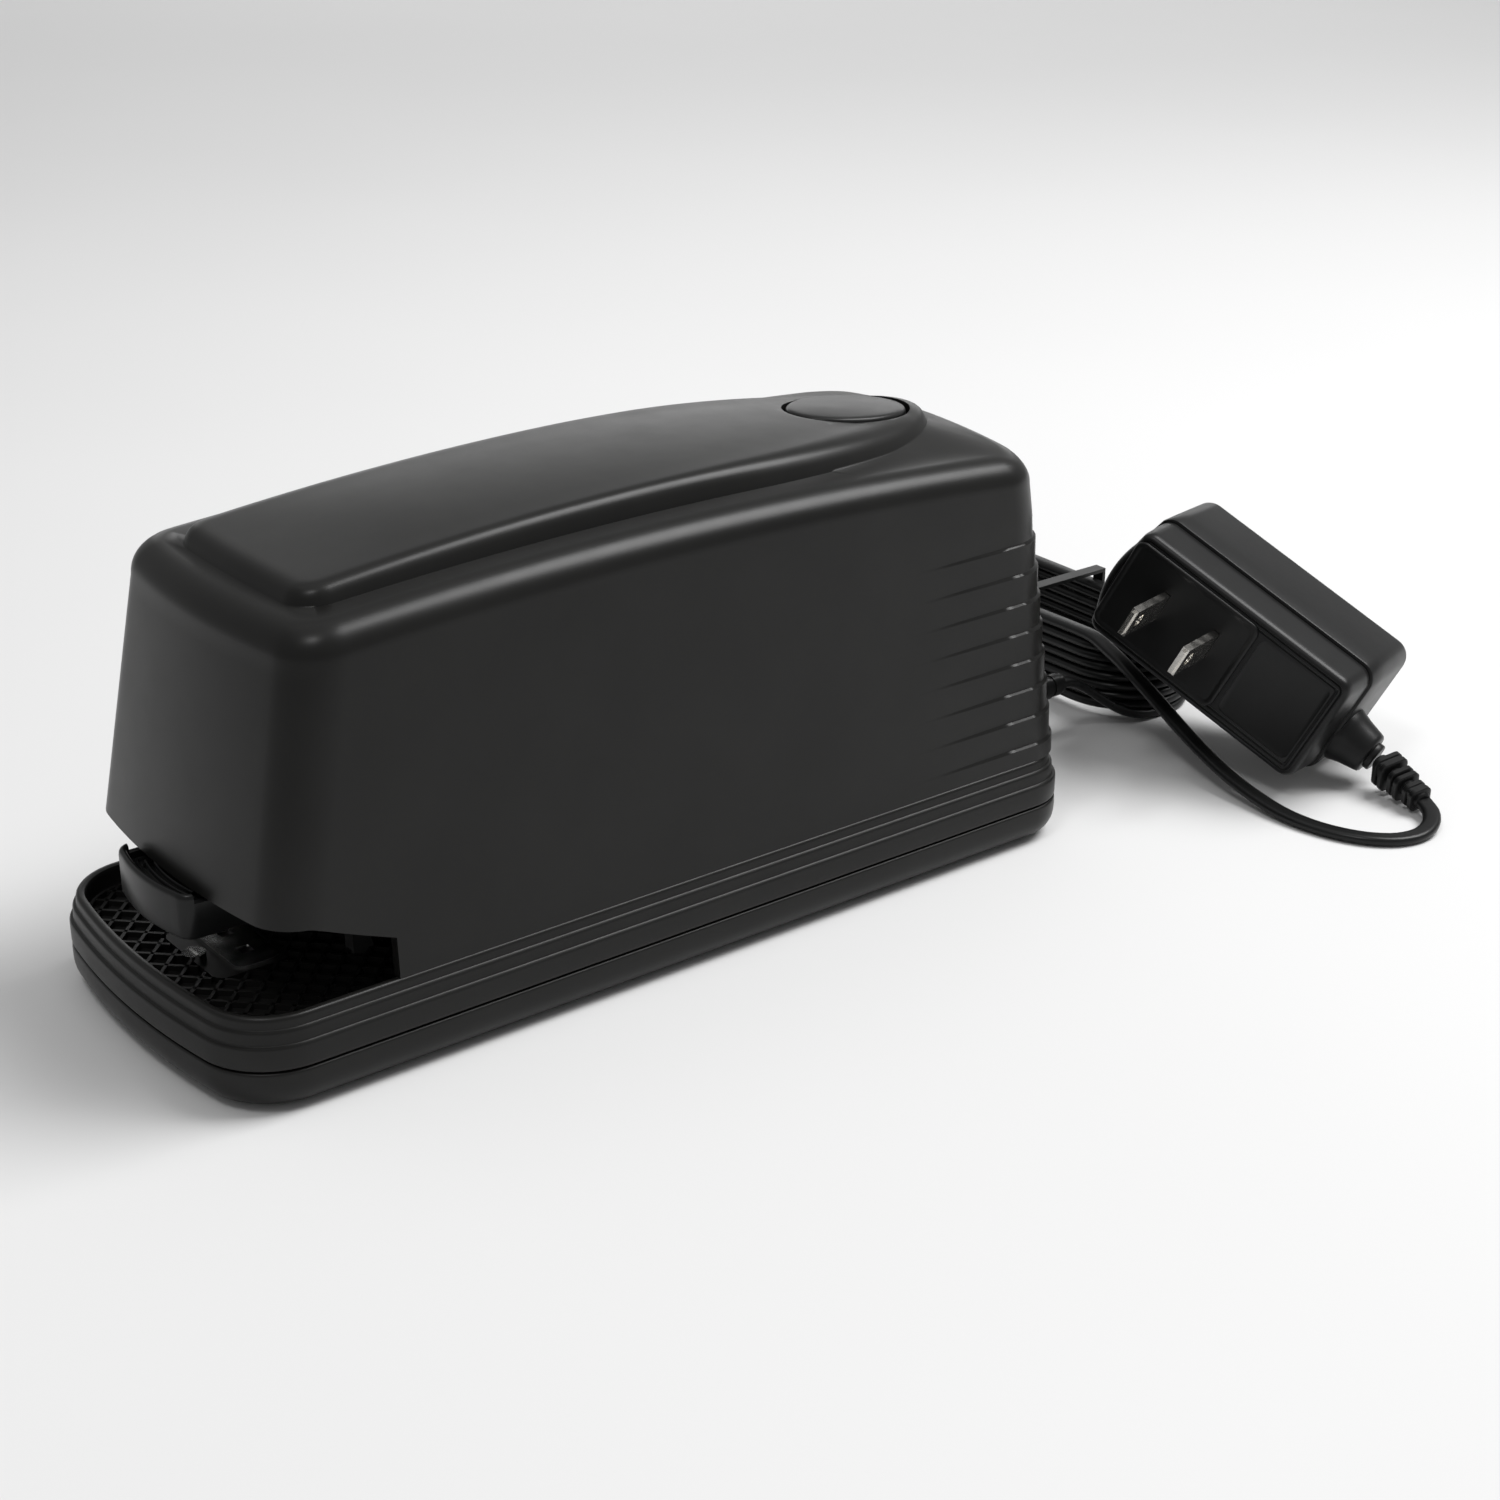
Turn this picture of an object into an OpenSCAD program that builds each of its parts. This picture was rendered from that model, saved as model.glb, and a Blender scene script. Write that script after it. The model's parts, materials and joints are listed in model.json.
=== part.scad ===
// Electric desktop stapler with its plug-in mains adapter, in millimetres.
// Front is -Y, the long axis is Y, Z is up and the feet stand on Z = 0.

/* [Base] */
// Width of the base
base_w = 72; // [68:1:80]
// Length of the base
base_l = 184.6; // [180:0.2:190]
// Height of the base's top face
base_h = 17; // [16:0.5:19]
// Height of the parting line between the two base shells
parting_z = 8; // [7:0.5:9]
// Height of the ribbed deck that the paper lies on
deck_z = 13.4; // [12:0.2:14]
// Thickness of the moulded walls
wall = 2; // [1.6:0.1:2.4]

/* [Cover] */
// Height of the shelf round the raised panel, at its peak
shelf_z = 81; // [78:0.5:84]
// Height of the raised panel's top, at its peak
panel_z = 85.4; // [83:0.2:88]
// Radius of the rounding along the cover's top edge
edge_r = 5.5; // [4:0.5:7]
// Height of the cover's lower edge over the paper throat
throat_z = 30.5; // [29:0.5:32]
// Depth of the paper throat's side notch, from the middle of the base
notch_y = 59.4; // [56:0.2:64]

/* [Stapling] */
// Distance from the middle of the base forward to the driver blade
driver_y = 71.8; // [70:0.2:74]
// Lift of the magazine's underside over the base's underside
magazine_z = 23.3; // [22:0.1:24]
// Width over the legs of one staple
staple_w = 12.7; // [12.2:0.1:13]
// Length of the staple strip, partly used
strip_l = 40; // [20:1:42]

/* [Drive] */
// Module of every gear tooth
gear_module = 0.8; // [0.7:0.05:0.8]
// Teeth of the motor pinion
motor_teeth = 10; // [10:1:11]
// Teeth of the small pinion on both compound gears
pinion_teeth = 12; // [11:1:12]
// Teeth of the first compound gear's wheel
first_teeth = 40; // [36:1:40]
// Teeth of the second compound gear's wheel
second_teeth = 36; // [32:1:36]
// Teeth of the cam gear
cam_teeth = 42; // [38:1:42]

/* [Release button] */
// Width of the button, across the cover
button_w = 18; // [14:1:20]
// Length of the button, along the cover
button_l = 25; // [20:1:28]

/* [Adapter and cord] */
// Length of the adapter's case
adapter_l = 56; // [50:1:62]
// Height of the adapter's case
adapter_h = 27; // [24:1:32]
// Depth of the adapter's case behind the prong face
adapter_d = 33; // [28:1:36]
// Spacing of the flat mains blades
blade_gap = 12.7; // [12.5:0.1:12.9]
// Width of the flat twin lead
cord_w = 3.6; // [3:0.1:4]
// Thickness of the flat twin lead
cord_t = 2.1; // [1.8:0.1:2.4]

/* [Hidden] */
eps = 0.01;
half_w = base_w / 2;
front_y = -base_l / 2;
rear_y = base_l / 2;

// ---------- shared outlines ----------

// Points on an arc of radius r about c, from angle a0 to a1, in n steps.
function arc(c, r, a0, a1, n) =
    [for (i = [0 : n]) let (a = a0 + (a1 - a0) * i / n) [c[0] + r * cos(a), c[1] + r * sin(a)]];

// Right half of a plan outline, front centre to rear centre: a front arc of radius bow,
// a front corner of radius rf, a straight side and a rear corner of radius rr.
function half_outline(w, yf, yr, rf, rr, bow) =
    let (cx = w - rf,
         cy = yf + bow - sqrt(pow(bow - rf, 2) - cx * cx),
         turn = atan2(cy - yf - bow, cx))
    concat(
        arc([0, yf + bow], bow, -90, turn, 5),
        [for (i = [1 : 7]) let (a = turn - turn * i / 7) [cx + rf * cos(a), cy + rf * sin(a)]],
        [for (i = [1 : 14]) [w, cy + (yr - rr - cy) * i / 14]],
        [for (i = [1 : 7]) let (a = 90 * i / 7) [w - rr + rr * cos(a), yr - rr + rr * sin(a)]],
        [for (i = [1 : 4]) [(w - rr) * (1 - i / 4), yr]]
    );

// A half outline and its mirror image as one closed loop.
function whole(half) =
    concat(half, [for (i = [len(half) - 2 : -1 : 1]) [-half[i][0], half[i][1]]]);

module base_plan(inset) {
    polygon(whole(half_outline(half_w - inset, front_y + inset, rear_y - inset,
                               13.9 - inset, 10.6 - inset * 0.8, 156 - inset)));
}

module slab(inset, z0, z1) {
    translate([0, 0, z0]) linear_extrude(z1 - z0) base_plan(inset);
}

// A rod along X, from x0 to x1, at height z and place y.
module rod_x(x0, x1, y, z, d) {
    translate([x0, y, z]) rotate([0, 90, 0]) cylinder(d = d, h = x1 - x0, $fn = 48);
}

// A rod along Y, from y0 to y1, at height z and place x.
module rod_y(y0, y1, x, z, d) {
    translate([x, y0, z]) rotate([-90, 0, 0]) cylinder(d = d, h = y1 - y0, $fn = 48);
}

// A box between two opposite corners.
module box(lo, hi) {
    translate(lo) cube(hi - lo);
}

// An outline drawn as [y, z] points, extruded along X from x0 to x1.
module side_plate(x0, x1, outline) {
    translate([x0, 0, 0]) rotate([90, 0, 90]) linear_extrude(x1 - x0) polygon(outline);
}

// ---------- base ----------

screw_places = [[25, -62], [-25, -62], [25, 70], [-25, 70]];
foot_places = [[24, -76], [-24, -76], [24, 78], [-24, 78]];
foot_d = 11;
base_floor = 0.8;               // the feet hold the shell this far off the surface
jack_z = 12.2;

module base_lower() {
    color("#17181a") difference() {
        union() {
            slab(1.6, base_floor, base_floor + 0.8);
            slab(0.6, base_floor + 0.8, base_floor + 2.2);
            slab(0, base_floor + 2.2, parting_z - 0.15);
        }
        difference() {
            slab(wall + 0.4, base_floor + wall, parting_z);
            for (p = screw_places) translate([p[0], p[1], 0]) cylinder(d = 8, h = parting_z, $fn = 48);
        }
        for (p = screw_places) translate([p[0], p[1], 0]) {
            cylinder(d = 3.4, h = parting_z + 1, $fn = 48);
            cylinder(d = 6.4, h = base_floor + 3, $fn = 48);
        }
        for (p = foot_places) translate([p[0], p[1], 0]) cylinder(d = foot_d, h = base_floor + 1, $fn = 48);
    }
    // ears that carry the paper trigger's pin
    color("#17181a") for (x = [trigger_x - 3.6, trigger_x + 2]) difference() {
        box([x, trigger_y - 2, base_floor + wall - 0.5], [x + 1.6, trigger_y + 4, parting_z]);
        rod_x(x - 1, x + 3, trigger_y + 1, trigger_z, 2);
    }
}

trigger_x = 14;
trigger_y = -56;
trigger_z = 5.6;
deck_back = -44;                // where the recessed deck ends under the cover

module base_upper() {
    color("#17181a") difference() {
        union() {
            slab(0, parting_z + 0.15, base_h - 4.5);
            slab(0.6, base_h - 4.5, base_h - 2);
            slab(1.2, base_h - 2, base_h - 0.8);
            slab(1.8, base_h - 0.8, base_h);
        }
        // hollow underside, with the deck's floor left over the front of it
        difference() {
            slab(wall + 0.4, parting_z, base_h - wall);
            box([-half_w, front_y, deck_z - 3.2], [half_w, deck_back, base_h]);
            for (p = screw_places)
                translate([p[0], p[1], parting_z]) cylinder(d = 8, h = base_h - parting_z, $fn = 48);
            for (p = cover_screw_places)
                translate([p[0], p[1], parting_z]) cylinder(d = 9, h = base_h - parting_z, $fn = 48);
        }
        // recessed deck
        intersection() {
            slab(3.2, deck_z, base_h + 1);
            box([-half_w, front_y, deck_z], [half_w, deck_back, base_h + 1]);
        }
        deck_grooves();
        // seat of the anvil plate
        translate([0, -driver_y, deck_z - 1.2]) linear_extrude(3) rounded_rect(19.2, 9.2, 2.2);
        translate([0, -driver_y - 7.6, deck_z - 4]) cylinder(d = 2.2, h = 4, $fn = 24);
        for (p = screw_places) translate([p[0], p[1], parting_z - 1]) cylinder(d = 2.6, h = 5.2, $fn = 32);
        for (p = cover_screw_places) translate([p[0], p[1], parting_z - 1]) {
            cylinder(d = 3.3, h = base_h, $fn = 32);
            cylinder(d = 6.3, h = 3.2, $fn = 32);
        }
        // slot for the paper trigger
        box([trigger_x - 1.8, trigger_y - 3, 0], [trigger_x + 1.8, trigger_y + 9, base_h + 1]);
        // mouth of the power socket
        rod_y(rear_y - 8, rear_y + 1, 0, jack_z, 8);
    }
}

module rounded_rect(w, l, r) {
    hull() for (x = [-1, 1], y = [-1, 1])
        translate([x * (w / 2 - r), y * (l / 2 - r)]) circle(r = r, $fn = 32);
}

rib_pitch = 3.6;
rib_w = 0.8;
rib_h = 0.9;

// The diamond ribs stand between these sunk squares, laid at 45 degrees to the long axis.
module deck_grooves() {
    intersection() {
        slab(5, deck_z - rib_h, deck_z + 1);
        box([-half_w, front_y, 0], [half_w, -50, base_h]);
        difference() {
            for (i = [-13 : 13], j = [-13 : 13])
                let (u = i * rib_pitch, v = j * rib_pitch,
                     x = (u - v) * sqrt(0.5), y = -driver_y + (u + v) * sqrt(0.5))
                if (abs(x) < 33 && y < -50 && y > front_y + 2)
                    translate([x, y, deck_z - rib_h]) rotate(45)
                        translate([-1, -1, 0] * (rib_pitch - rib_w) / 2)
                            cube([rib_pitch - rib_w, rib_pitch - rib_w, 2]);
            translate([0, -driver_y - 2, 0]) linear_extrude(base_h) rounded_rect(24, 20, 4);
        }
    }
}

module rubber_feet() {
    color("#26262a") for (p = foot_places)
        translate([p[0], p[1], 0]) cylinder(d = foot_d - 0.4, h = base_floor + 1, $fn = 48);
}

module base_screws() {
    color("silver") for (p = screw_places) translate([p[0], p[1], 0]) difference() {
        union() {
            translate([0, 0, base_floor + 3]) cylinder(d = 2.5, h = 8, $fn = 32);
            translate([0, 0, base_floor + 1]) cylinder(d = 5.6, h = 2, $fn = 48);
        }
        translate([0, 0, base_floor]) cross_slot();
    }
}

module cross_slot() {
    for (a = [0, 90]) rotate(a) translate([-1.6, -0.35, 0]) cube([3.2, 0.7, 2]);
}

anvil_top = deck_z + 0.4;

module anvil() {
    color("silver") difference() {
        translate([0, -driver_y, deck_z - 1.2]) linear_extrude(anvil_top - deck_z + 1.2)
            rounded_rect(18.6, 8.6, 2);
        for (s = [-1, 1]) translate([s * 3.7, -driver_y, anvil_top]) rotate([90, 0, 0])
            translate([0, 0.5, -1.1]) cylinder(r = 1.3, h = 2.2, $fn = 32);
    }
}

module anvil_screw() {
    color("silver") translate([0, -driver_y - 7.6, deck_z]) difference() {
        union() {
            cylinder(d = 4, h = 0.8, $fn = 32);
            translate([0, 0, -3]) cylinder(d = 2, h = 3 + eps, $fn = 24);
        }
        translate([0, 0, 0.4]) translate([-1.4, -0.3, 0]) cube([2.8, 0.6, 1]);
    }
}

// ---------- cover ----------

cover_screw_places = [[28.6, -36], [-28.6, -36], [28.4, 56], [-28.4, 56]];
shelf_curve = 900;              // radius of the shelf's lengthwise arch
panel_curve = 650;              // radius of the raised panel's lengthwise arch
panel_w = 22;
panel_front = -66.5;
panel_turn = 24;                // where the panel's sides start to close in
panel_rear = 77;

function shelf_at(y, z) = z - y * y / (2 * shelf_curve);
function panel_at(y, z) = z - (y - 6) * (y - 6) / (2 * panel_curve);

// Half outline of the cover at height z, moved in by an inset.
function cover_half(z, inset) =
    let (rise = z - base_h)
    half_outline(34.2 - 0.045 * rise - inset, -85.7 + 0.2 * rise + inset,
                 92 - 0.12 * rise - inset, 9 - inset * 0.9, 9.5 - inset * 0.9, 170);

// Half outline of the raised panel: gently bowed front, rounded corners, closing to the rear.
function panel_half(inset) =
    let (w = panel_w - inset, r = 6, bow = 0.4, yf = panel_front + inset, yr = panel_rear - inset)
    concat(
        [for (i = [0 : 5]) [(w - r) * i / 5, yf + bow * (pow(i / 5, 2) - 1)]],
        [for (i = [1 : 7]) let (a = -90 + 90 * i / 7) [w - r + r * cos(a), yf + r + r * sin(a)]],
        [for (i = [1 : 14]) [w, yf + r + (panel_turn - yf - r) * i / 14]],
        [for (i = [1 : 11]) let (a = 90 * i / 11) [w * cos(a), panel_turn + (yr - panel_turn) * sin(a)]]
    );

// One ring of points from a half outline, each lifted to its own height.
function lifted(half, heights) =
    let (n = len(half))
    concat([for (i = [0 : n - 1]) [half[i][0], half[i][1], heights[i]]],
           [for (i = [n - 2 : -1 : 1]) [-half[i][0], half[i][1], heights[i]]]);

// A closed solid through a stack of rings, capped below by a fan and above across X.
module skin(rings) {
    n = len(rings[0]);
    k = len(rings);
    m = n / 2;
    sides = [for (j = [0 : k - 2], i = [0 : n - 1])
        [j * n + i, (j + 1) * n + i, (j + 1) * n + (i + 1) % n, j * n + (i + 1) % n]];
    top = (k - 1) * n;
    lid = [for (i = [0 : m - 1]) i == 0 ? [top, top + n - 1, top + 1]
        : i == m - 1 ? [top + i, top + n - i, top + m]
        : [top + i, top + n - i, top + n - i - 1, top + i + 1]];
    floor_face = [[for (i = [0 : n - 1]) i]];
    polyhedron(points = [for (r = rings) for (p = r) p],
        faces = concat(sides, lid, floor_face), convexity = 6);
}

// The cover's outer form, or its inner form when t is the wall thickness.
module cover_form(t) {
    crown = shelf_z - t;
    wall_rings = [for (f = [0, 0.35, 0.7, 1])
        let (half = cover_half(base_h + f * (shelf_z - edge_r - base_h), t))
        lifted(half, [for (p = half) base_h + f * (shelf_at(p[1], crown) - edge_r - base_h)])];
    edge_rings = [for (a = [15 : 15 : 90])
        let (half = cover_half(shelf_z - edge_r, t + edge_r * (1 - cos(a))))
        lifted(half, [for (p = half) shelf_at(p[1], crown) - edge_r * (1 - sin(a))])];
    panel_rings = [for (s = [[0, 0], [0.5, 0.45], [1.6, 0.85], [3.4, 1]])
        let (half = panel_half(t * 0.6 + s[0]))
        lifted(half, [for (p = half)
            shelf_at(p[1], crown) * (1 - s[1]) + panel_at(p[1], panel_z - t) * s[1]])];
    skin(concat(wall_rings, edge_rings, panel_rings));
}

// An upright elliptical prism, size w across X and l along Y.
module ellipse_prism(w, l, z0, z1) {
    translate([0, 0, z0]) linear_extrude(z1 - z0)
        polygon([for (i = [0 : 59]) [w / 2 * cos(i * 6), l / 2 * sin(i * 6)]]);
}

button_y = 62;

module cover() {
    color("#17181a") difference() {
        union() {
            difference() {
                cover_form(0);
                translate([0, 0, -eps]) cover_form(wall);
            }
            for (p = cover_screw_places) translate([p[0], p[1], base_h])
                cylinder(d = 8, h = 14, $fn = 48);
        }
        // paper throat: sides cut up to a slope, front cut level
        side_plate(-50, 50, [[-120, 0], [-notch_y, 0], [-notch_y, 24.5], [-77, throat_z], [-120, throat_z]]);
        translate([0, button_y, 0]) ellipse_prism(button_w + 1.2, button_l + 1.2, 60, 100);
        for (p = cover_screw_places) translate([p[0], p[1], base_h - 1])
            cylinder(d = 2.5, h = 13, $fn = 32);
    }
}

module cover_screws() {
    color("silver") for (p = cover_screw_places) translate([p[0], p[1], 0]) difference() {
        union() {
            translate([0, 0, parting_z + 2]) cylinder(d = 2.4, h = 17, $fn = 32);
            translate([0, 0, parting_z + 0.4]) cylinder(d = 5.4, h = 1.8, $fn = 48);
        }
        translate([0, 0, parting_z - 1]) cross_slot();
    }
}

// ---------- release button and latch ----------

spring_seat = 67;
stem_z = 62;
button_skirt = 77;

module release_button() {
    color("#17181a") translate([0, button_y, 0]) {
        ellipse_prism(button_w, button_l, button_skirt, 83.4);
        ellipse_prism(button_w - 1, button_l - 1.2, 83.4 - eps, 83.9);
        ellipse_prism(button_w - 3, button_l - 3.6, 83.9 - eps, 84.2);
        translate([0, 0, stem_z]) cylinder(d = 5, h = button_skirt - stem_z + eps, $fn = 48);
    }
}

// A coil spring about Z: mean diameter d, wire w, from z0 to z1.
module coil(d, w, z0, z1, turns) {
    steps = turns * 12;
    pts = [for (i = [0 : steps]) let (a = i * 30, z = z0 + w / 2 + (z1 - z0 - w) * i / steps)
        for (k = [0 : 4]) let (b = k * 72, r = d / 2 + w / 2 * cos(b))
            [r * cos(a), r * sin(a), z + w / 2 * sin(b)]];
    sides = [for (i = [0 : steps - 1], k = [0 : 4])
        let (a = i * 5 + k, b = i * 5 + (k + 1) % 5) each [[a, b, b + 5], [a, b + 5, a + 5]]];
    last = steps * 5;
    polyhedron(points = pts,
        faces = concat(sides, [[4, 3, 2, 1, 0]], [[for (k = [0 : 4]) last + k]]), convexity = 10);
}

module button_spring() {
    color("silver") translate([0, button_y, 0]) coil(8, 0.7, spring_seat + 0.1, button_skirt - 0.1, 6);
}

latch_y = 44;
latch_z = 56;
latch_x = -5.6;

module latch_lever() {
    color("#b9bcc0") difference() {
        union() {
            side_plate(latch_x - 0.8, latch_x + 0.8, [[48, 52], [49, 58.4], [65, 58.4], [65, 61.4],
                [43, 61.4], [39, 59], [20.5, 38.5], [12, 36], [12, 31], [14.6, 31],
                [15.5, 33.5], [23, 34.5]]);
            rod_x(latch_x - 1.4, latch_x + 1.4, latch_y, latch_z, 8);
            box([latch_x - 0.8, 59, 58.4], [2.5, 65, 61.4]);
        }
        rod_x(latch_x - 3, latch_x + 3, latch_y, latch_z, 3.1);
    }
}

module latch_pin() {
    color("silver") rod_x(-plate_x - plate_t, latch_x + 2.4, latch_y, latch_z, 3);
}

// ---------- chassis ----------

plate_x = 14;                   // inner face of each side plate
plate_t = 1.5;
head_y = 24;
head_z = 28;
arm_y = -8;
arm_z = 62;
motor_y = 66;
motor_z = 34;
motor_d = 24;
first_place = [52, 48.3];
second_place = [35, 39.4];
cam_place = [15, 47.6];
spacer_places = [[-12, 42], [46, 24], [30, 64]];
plate_foot_y = [-16, 32];

module chassis_plate(side, tail, holes) {
    x0 = side > 0 ? plate_x : -plate_x - plate_t;
    foot0 = side > 0 ? x0 : x0 - 6;
    color("#b9bcc0") difference() {
        union() {
            side_plate(x0, x0 + plate_t, concat([[-18, base_h], [-18, 52], [-14, 68], [2, 70],
                [40, 68], [46, spring_seat], [74, spring_seat]], tail));
            for (y = plate_foot_y)
                box([foot0, y, base_h], [foot0 + plate_t + 6, y + 8, base_h + plate_t]);
        }
        for (h = holes) rod_x(x0 - 1, x0 + plate_t + 1, h[0], h[1], h[2]);
    }
}

shared_holes = concat([[head_y, head_z, 5], [arm_y, arm_z, 5], [cam_place[0], cam_place[1], 5.1]],
                      [for (p = spacer_places) [p[0], p[1], 3]]);

module chassis_left() {
    chassis_plate(-1, [[74, 50], [50, 50], [50, base_h]], concat(shared_holes, [[latch_y, latch_z, 3]]));
}

module chassis_right() {
    chassis_plate(1, [[80, 56], [80, base_h]], concat(shared_holes,
        [[first_place[0], first_place[1], 3], [second_place[0], second_place[1], 3], [motor_y, motor_z, 9]]));
}

module chassis_spacers() {
    color("silver") for (p = spacer_places) {
        rod_x(-plate_x, plate_x, p[0], p[1], 5);
        rod_x(-plate_x - plate_t, plate_x + plate_t, p[0], p[1], 3);
    }
}

// Shelf between the side plates that the button's stem runs through.
module button_guide() {
    color("#b9bcc0") difference() {
        box([-plate_x, 52, spring_seat - 1.2], [plate_x, 74, spring_seat]);
        translate([0, button_y, spring_seat - 2]) cylinder(d = 5.2, h = 4, $fn = 48);
    }
}

module head_pin() {
    color("silver") rod_x(-plate_x - plate_t, plate_x + plate_t, head_y, head_z, 5);
}

module arm_pin() {
    color("silver") rod_x(-plate_x - plate_t, plate_x + plate_t, arm_y, arm_z, 5);
}

module gear_studs() {
    color("silver") {
        rod_x(plate_x, 24.4, first_place[0], first_place[1], 3);
        rod_x(plate_x, 28, second_place[0], second_place[1], 3);
    }
}

// ---------- motor and gears ----------

motor_x0 = -15;
shaft_d = 2.4;

module motor_can() {
    color("silver") difference() {
        union() {
            rod_x(motor_x0, plate_x - 0.02, motor_y, motor_z, motor_d);
            rod_x(plate_x - 0.1, plate_x + plate_t, motor_y, motor_z, 8.8);
        }
        rod_x(motor_x0 - 1, plate_x + plate_t + 1, motor_y, motor_z, shaft_d + 0.1);
    }
}

module motor_endcap() {
    color("#e8e4d8") difference() {
        union() {
            rod_x(motor_x0 - 2, motor_x0, motor_y, motor_z, motor_d - 2);
            for (s = [-1, 1]) box([motor_x0 - 5, motor_y + s * 7 - 1.5, motor_z - 0.3],
                                  [motor_x0 - 1.5, motor_y + s * 7 + 1.5, motor_z + 0.3]);
        }
        rod_x(motor_x0 - 3, motor_x0 + 1, motor_y, motor_z, shaft_d + 0.1);
    }
}

// A spur gear drawn in the [y, z] plane with one tooth centred on the angle turn.
module spur(teeth, turn, x0, x1) {
    r = teeth * gear_module / 2;
    tip = r + 0.75 * gear_module;
    root = r - 1.2 * gear_module;
    step = 360 / teeth;
    side_plate(x0, x1, [for (i = [0 : teeth - 1])
        for (e = [[-0.27, root], [-0.1, tip], [0.1, tip], [0.27, root]])
            let (a = turn + (i + e[0]) * step) [e[1] * cos(a), e[1] * sin(a)]]);
}

function aim(a, b) = atan2(b[1] - a[1], b[0] - a[0]);
motor_place = [motor_y, motor_z];
aim_1 = aim(motor_place, first_place);
aim_2 = aim(first_place, second_place);
aim_3 = aim(second_place, cam_place);

module at_place(p) {
    translate([0, p[0], p[1]]) children();
}

module motor_pinion() {
    color("#c9a24a") at_place(motor_place) {
        spur(motor_teeth, aim_1, 16.6, 20.2);
        rod_x(motor_x0 - 2.4, 20.4, 0, 0, shaft_d);
    }
}

module first_gear() {
    color("#e8e4d8") at_place(first_place) difference() {
        union() {
            spur(first_teeth, aim_1 + 180 + 180 / first_teeth, 17, 19.8);
            spur(pinion_teeth, aim_2, 19.7, 23.7);
            rod_x(16, 17.1, 0, 0, 7);
        }
        rod_x(15, 25, 0, 0, 3.1);
    }
}

module second_gear() {
    color("#e8e4d8") at_place(second_place) difference() {
        union() {
            spur(second_teeth, aim_2 + 180 + 180 / second_teeth, 20.4, 23.2);
            spur(pinion_teeth, aim_3, 23.1, 27.3);
            rod_x(16, 20.5, 0, 0, 5);
        }
        rod_x(15, 29, 0, 0, 3.1);
    }
}

cam_r = 7;
cam_throw = 3.1;
cam_x0 = 3;
cam_x1 = 8;

module cam_gear() {
    color("#e8e4d8") at_place(cam_place) {
        spur(cam_teeth, aim_3 + 180 + 180 / cam_teeth, 24, 26.8);
        rod_x(-plate_x - plate_t, 26.8, 0, 0, 5);
        rod_x(cam_x0, cam_x1, 0, cam_throw, cam_r * 2);
    }
}

// ---------- stapling head ----------

rail_x = 8.2;
rail_t = 1;
mag_w = 7.8;                    // half width of the magazine channel
mag_top = 30.1;
mag_back = 15.5;
blade_t = 0.7;
guide_front = -driver_y - 2.6;

module head_frame() {
    color("#b9bcc0") difference() {
        union() {
            for (s = [-1, 1]) mirror([s < 0 ? 1 : 0, 0, 0])
                side_plate(rail_x, rail_x + rail_t, [[guide_front + 2.6, magazine_z], [guide_front + 2.6, 34],
                    [-50, 34], [-40, 32], [18, 32], [20, 33.5], [28.5, 33.5], [28.5, magazine_z - 1.5],
                    [-6, magazine_z - 1.5], [-6, magazine_z]]);
            box([-rail_x - eps, -6, magazine_z - 1.5], [rail_x + eps, 28.5, magazine_z - 0.5]);
        }
        rod_x(-12, 12, head_y, head_z, 5.1);
    }
}

module driver_guide() {
    color("#3a3c40") difference() {
        box([-9.6, guide_front, mag_top + 1], [9.6, -62.4, 54]);
        box([-7, guide_front + 2, 0], [7, -50, 60]);
        for (s = [-1, 1]) mirror([s < 0 ? 1 : 0, 0, 0])
            box([rail_x - 0.02, guide_front + 2.6, 0], [20, -50, 34]);
    }
}

module magazine_channel() {
    color("#b9bcc0") difference() {
        union() {
            box([-mag_w, -75.2, magazine_z], [mag_w, 9, mag_top]);
            box([-mag_w, 9 - eps, magazine_z], [mag_w, mag_back, magazine_z + 1]);
            box([-mag_w, 13, magazine_z], [-3.4, mag_back, mag_top]);
        }
        box([-mag_w + 0.9, -driver_y - 0.8, magazine_z + 0.8], [mag_w - 0.9, 8, mag_top + 1]);
        box([-6.7, -driver_y - 0.6, magazine_z - 1], [6.7, -driver_y + 0.9, mag_top + 1]);
    }
}

core_w = 5.5;
core_top = 29;
rod_z = 26.4;

module magazine_core() {
    color("#b9bcc0") difference() {
        box([-core_w, -driver_y + 1.2, magazine_z + 0.8], [core_w, 8, core_top]);
        box([-core_w + 0.8, -driver_y + 2.4, 0], [core_w - 0.8, 6.8, core_top - 0.8]);
        box([-1.3, -driver_y + 2.4, 0], [1.3, 6.8, core_top + 1]);
        rod_y(-driver_y, 9, 0, rod_z, 1.6);
    }
}

module spring_rod() {
    color("silver") rod_y(-driver_y + 1.2, 8, 0, rod_z, 1.6);
}

nose_w = 12.6;
nose_front = -87.7;

// Plan of the magazine's nose at one inset: bowed front and rounded corners.
module nose_plan(inset) {
    w = nose_w - inset;
    front = nose_front + inset;
    polygon([each arc([0, front + 40], 40, -90 - 15, -90 + 15, 8),
        each arc([w - 3, front + 4.3], 3, -60, 0, 4),
             [w, -75.2], [-w, -75.2], each arc([-w + 3, front + 4.3], 3, -180, -120, 4)]);
}

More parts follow.
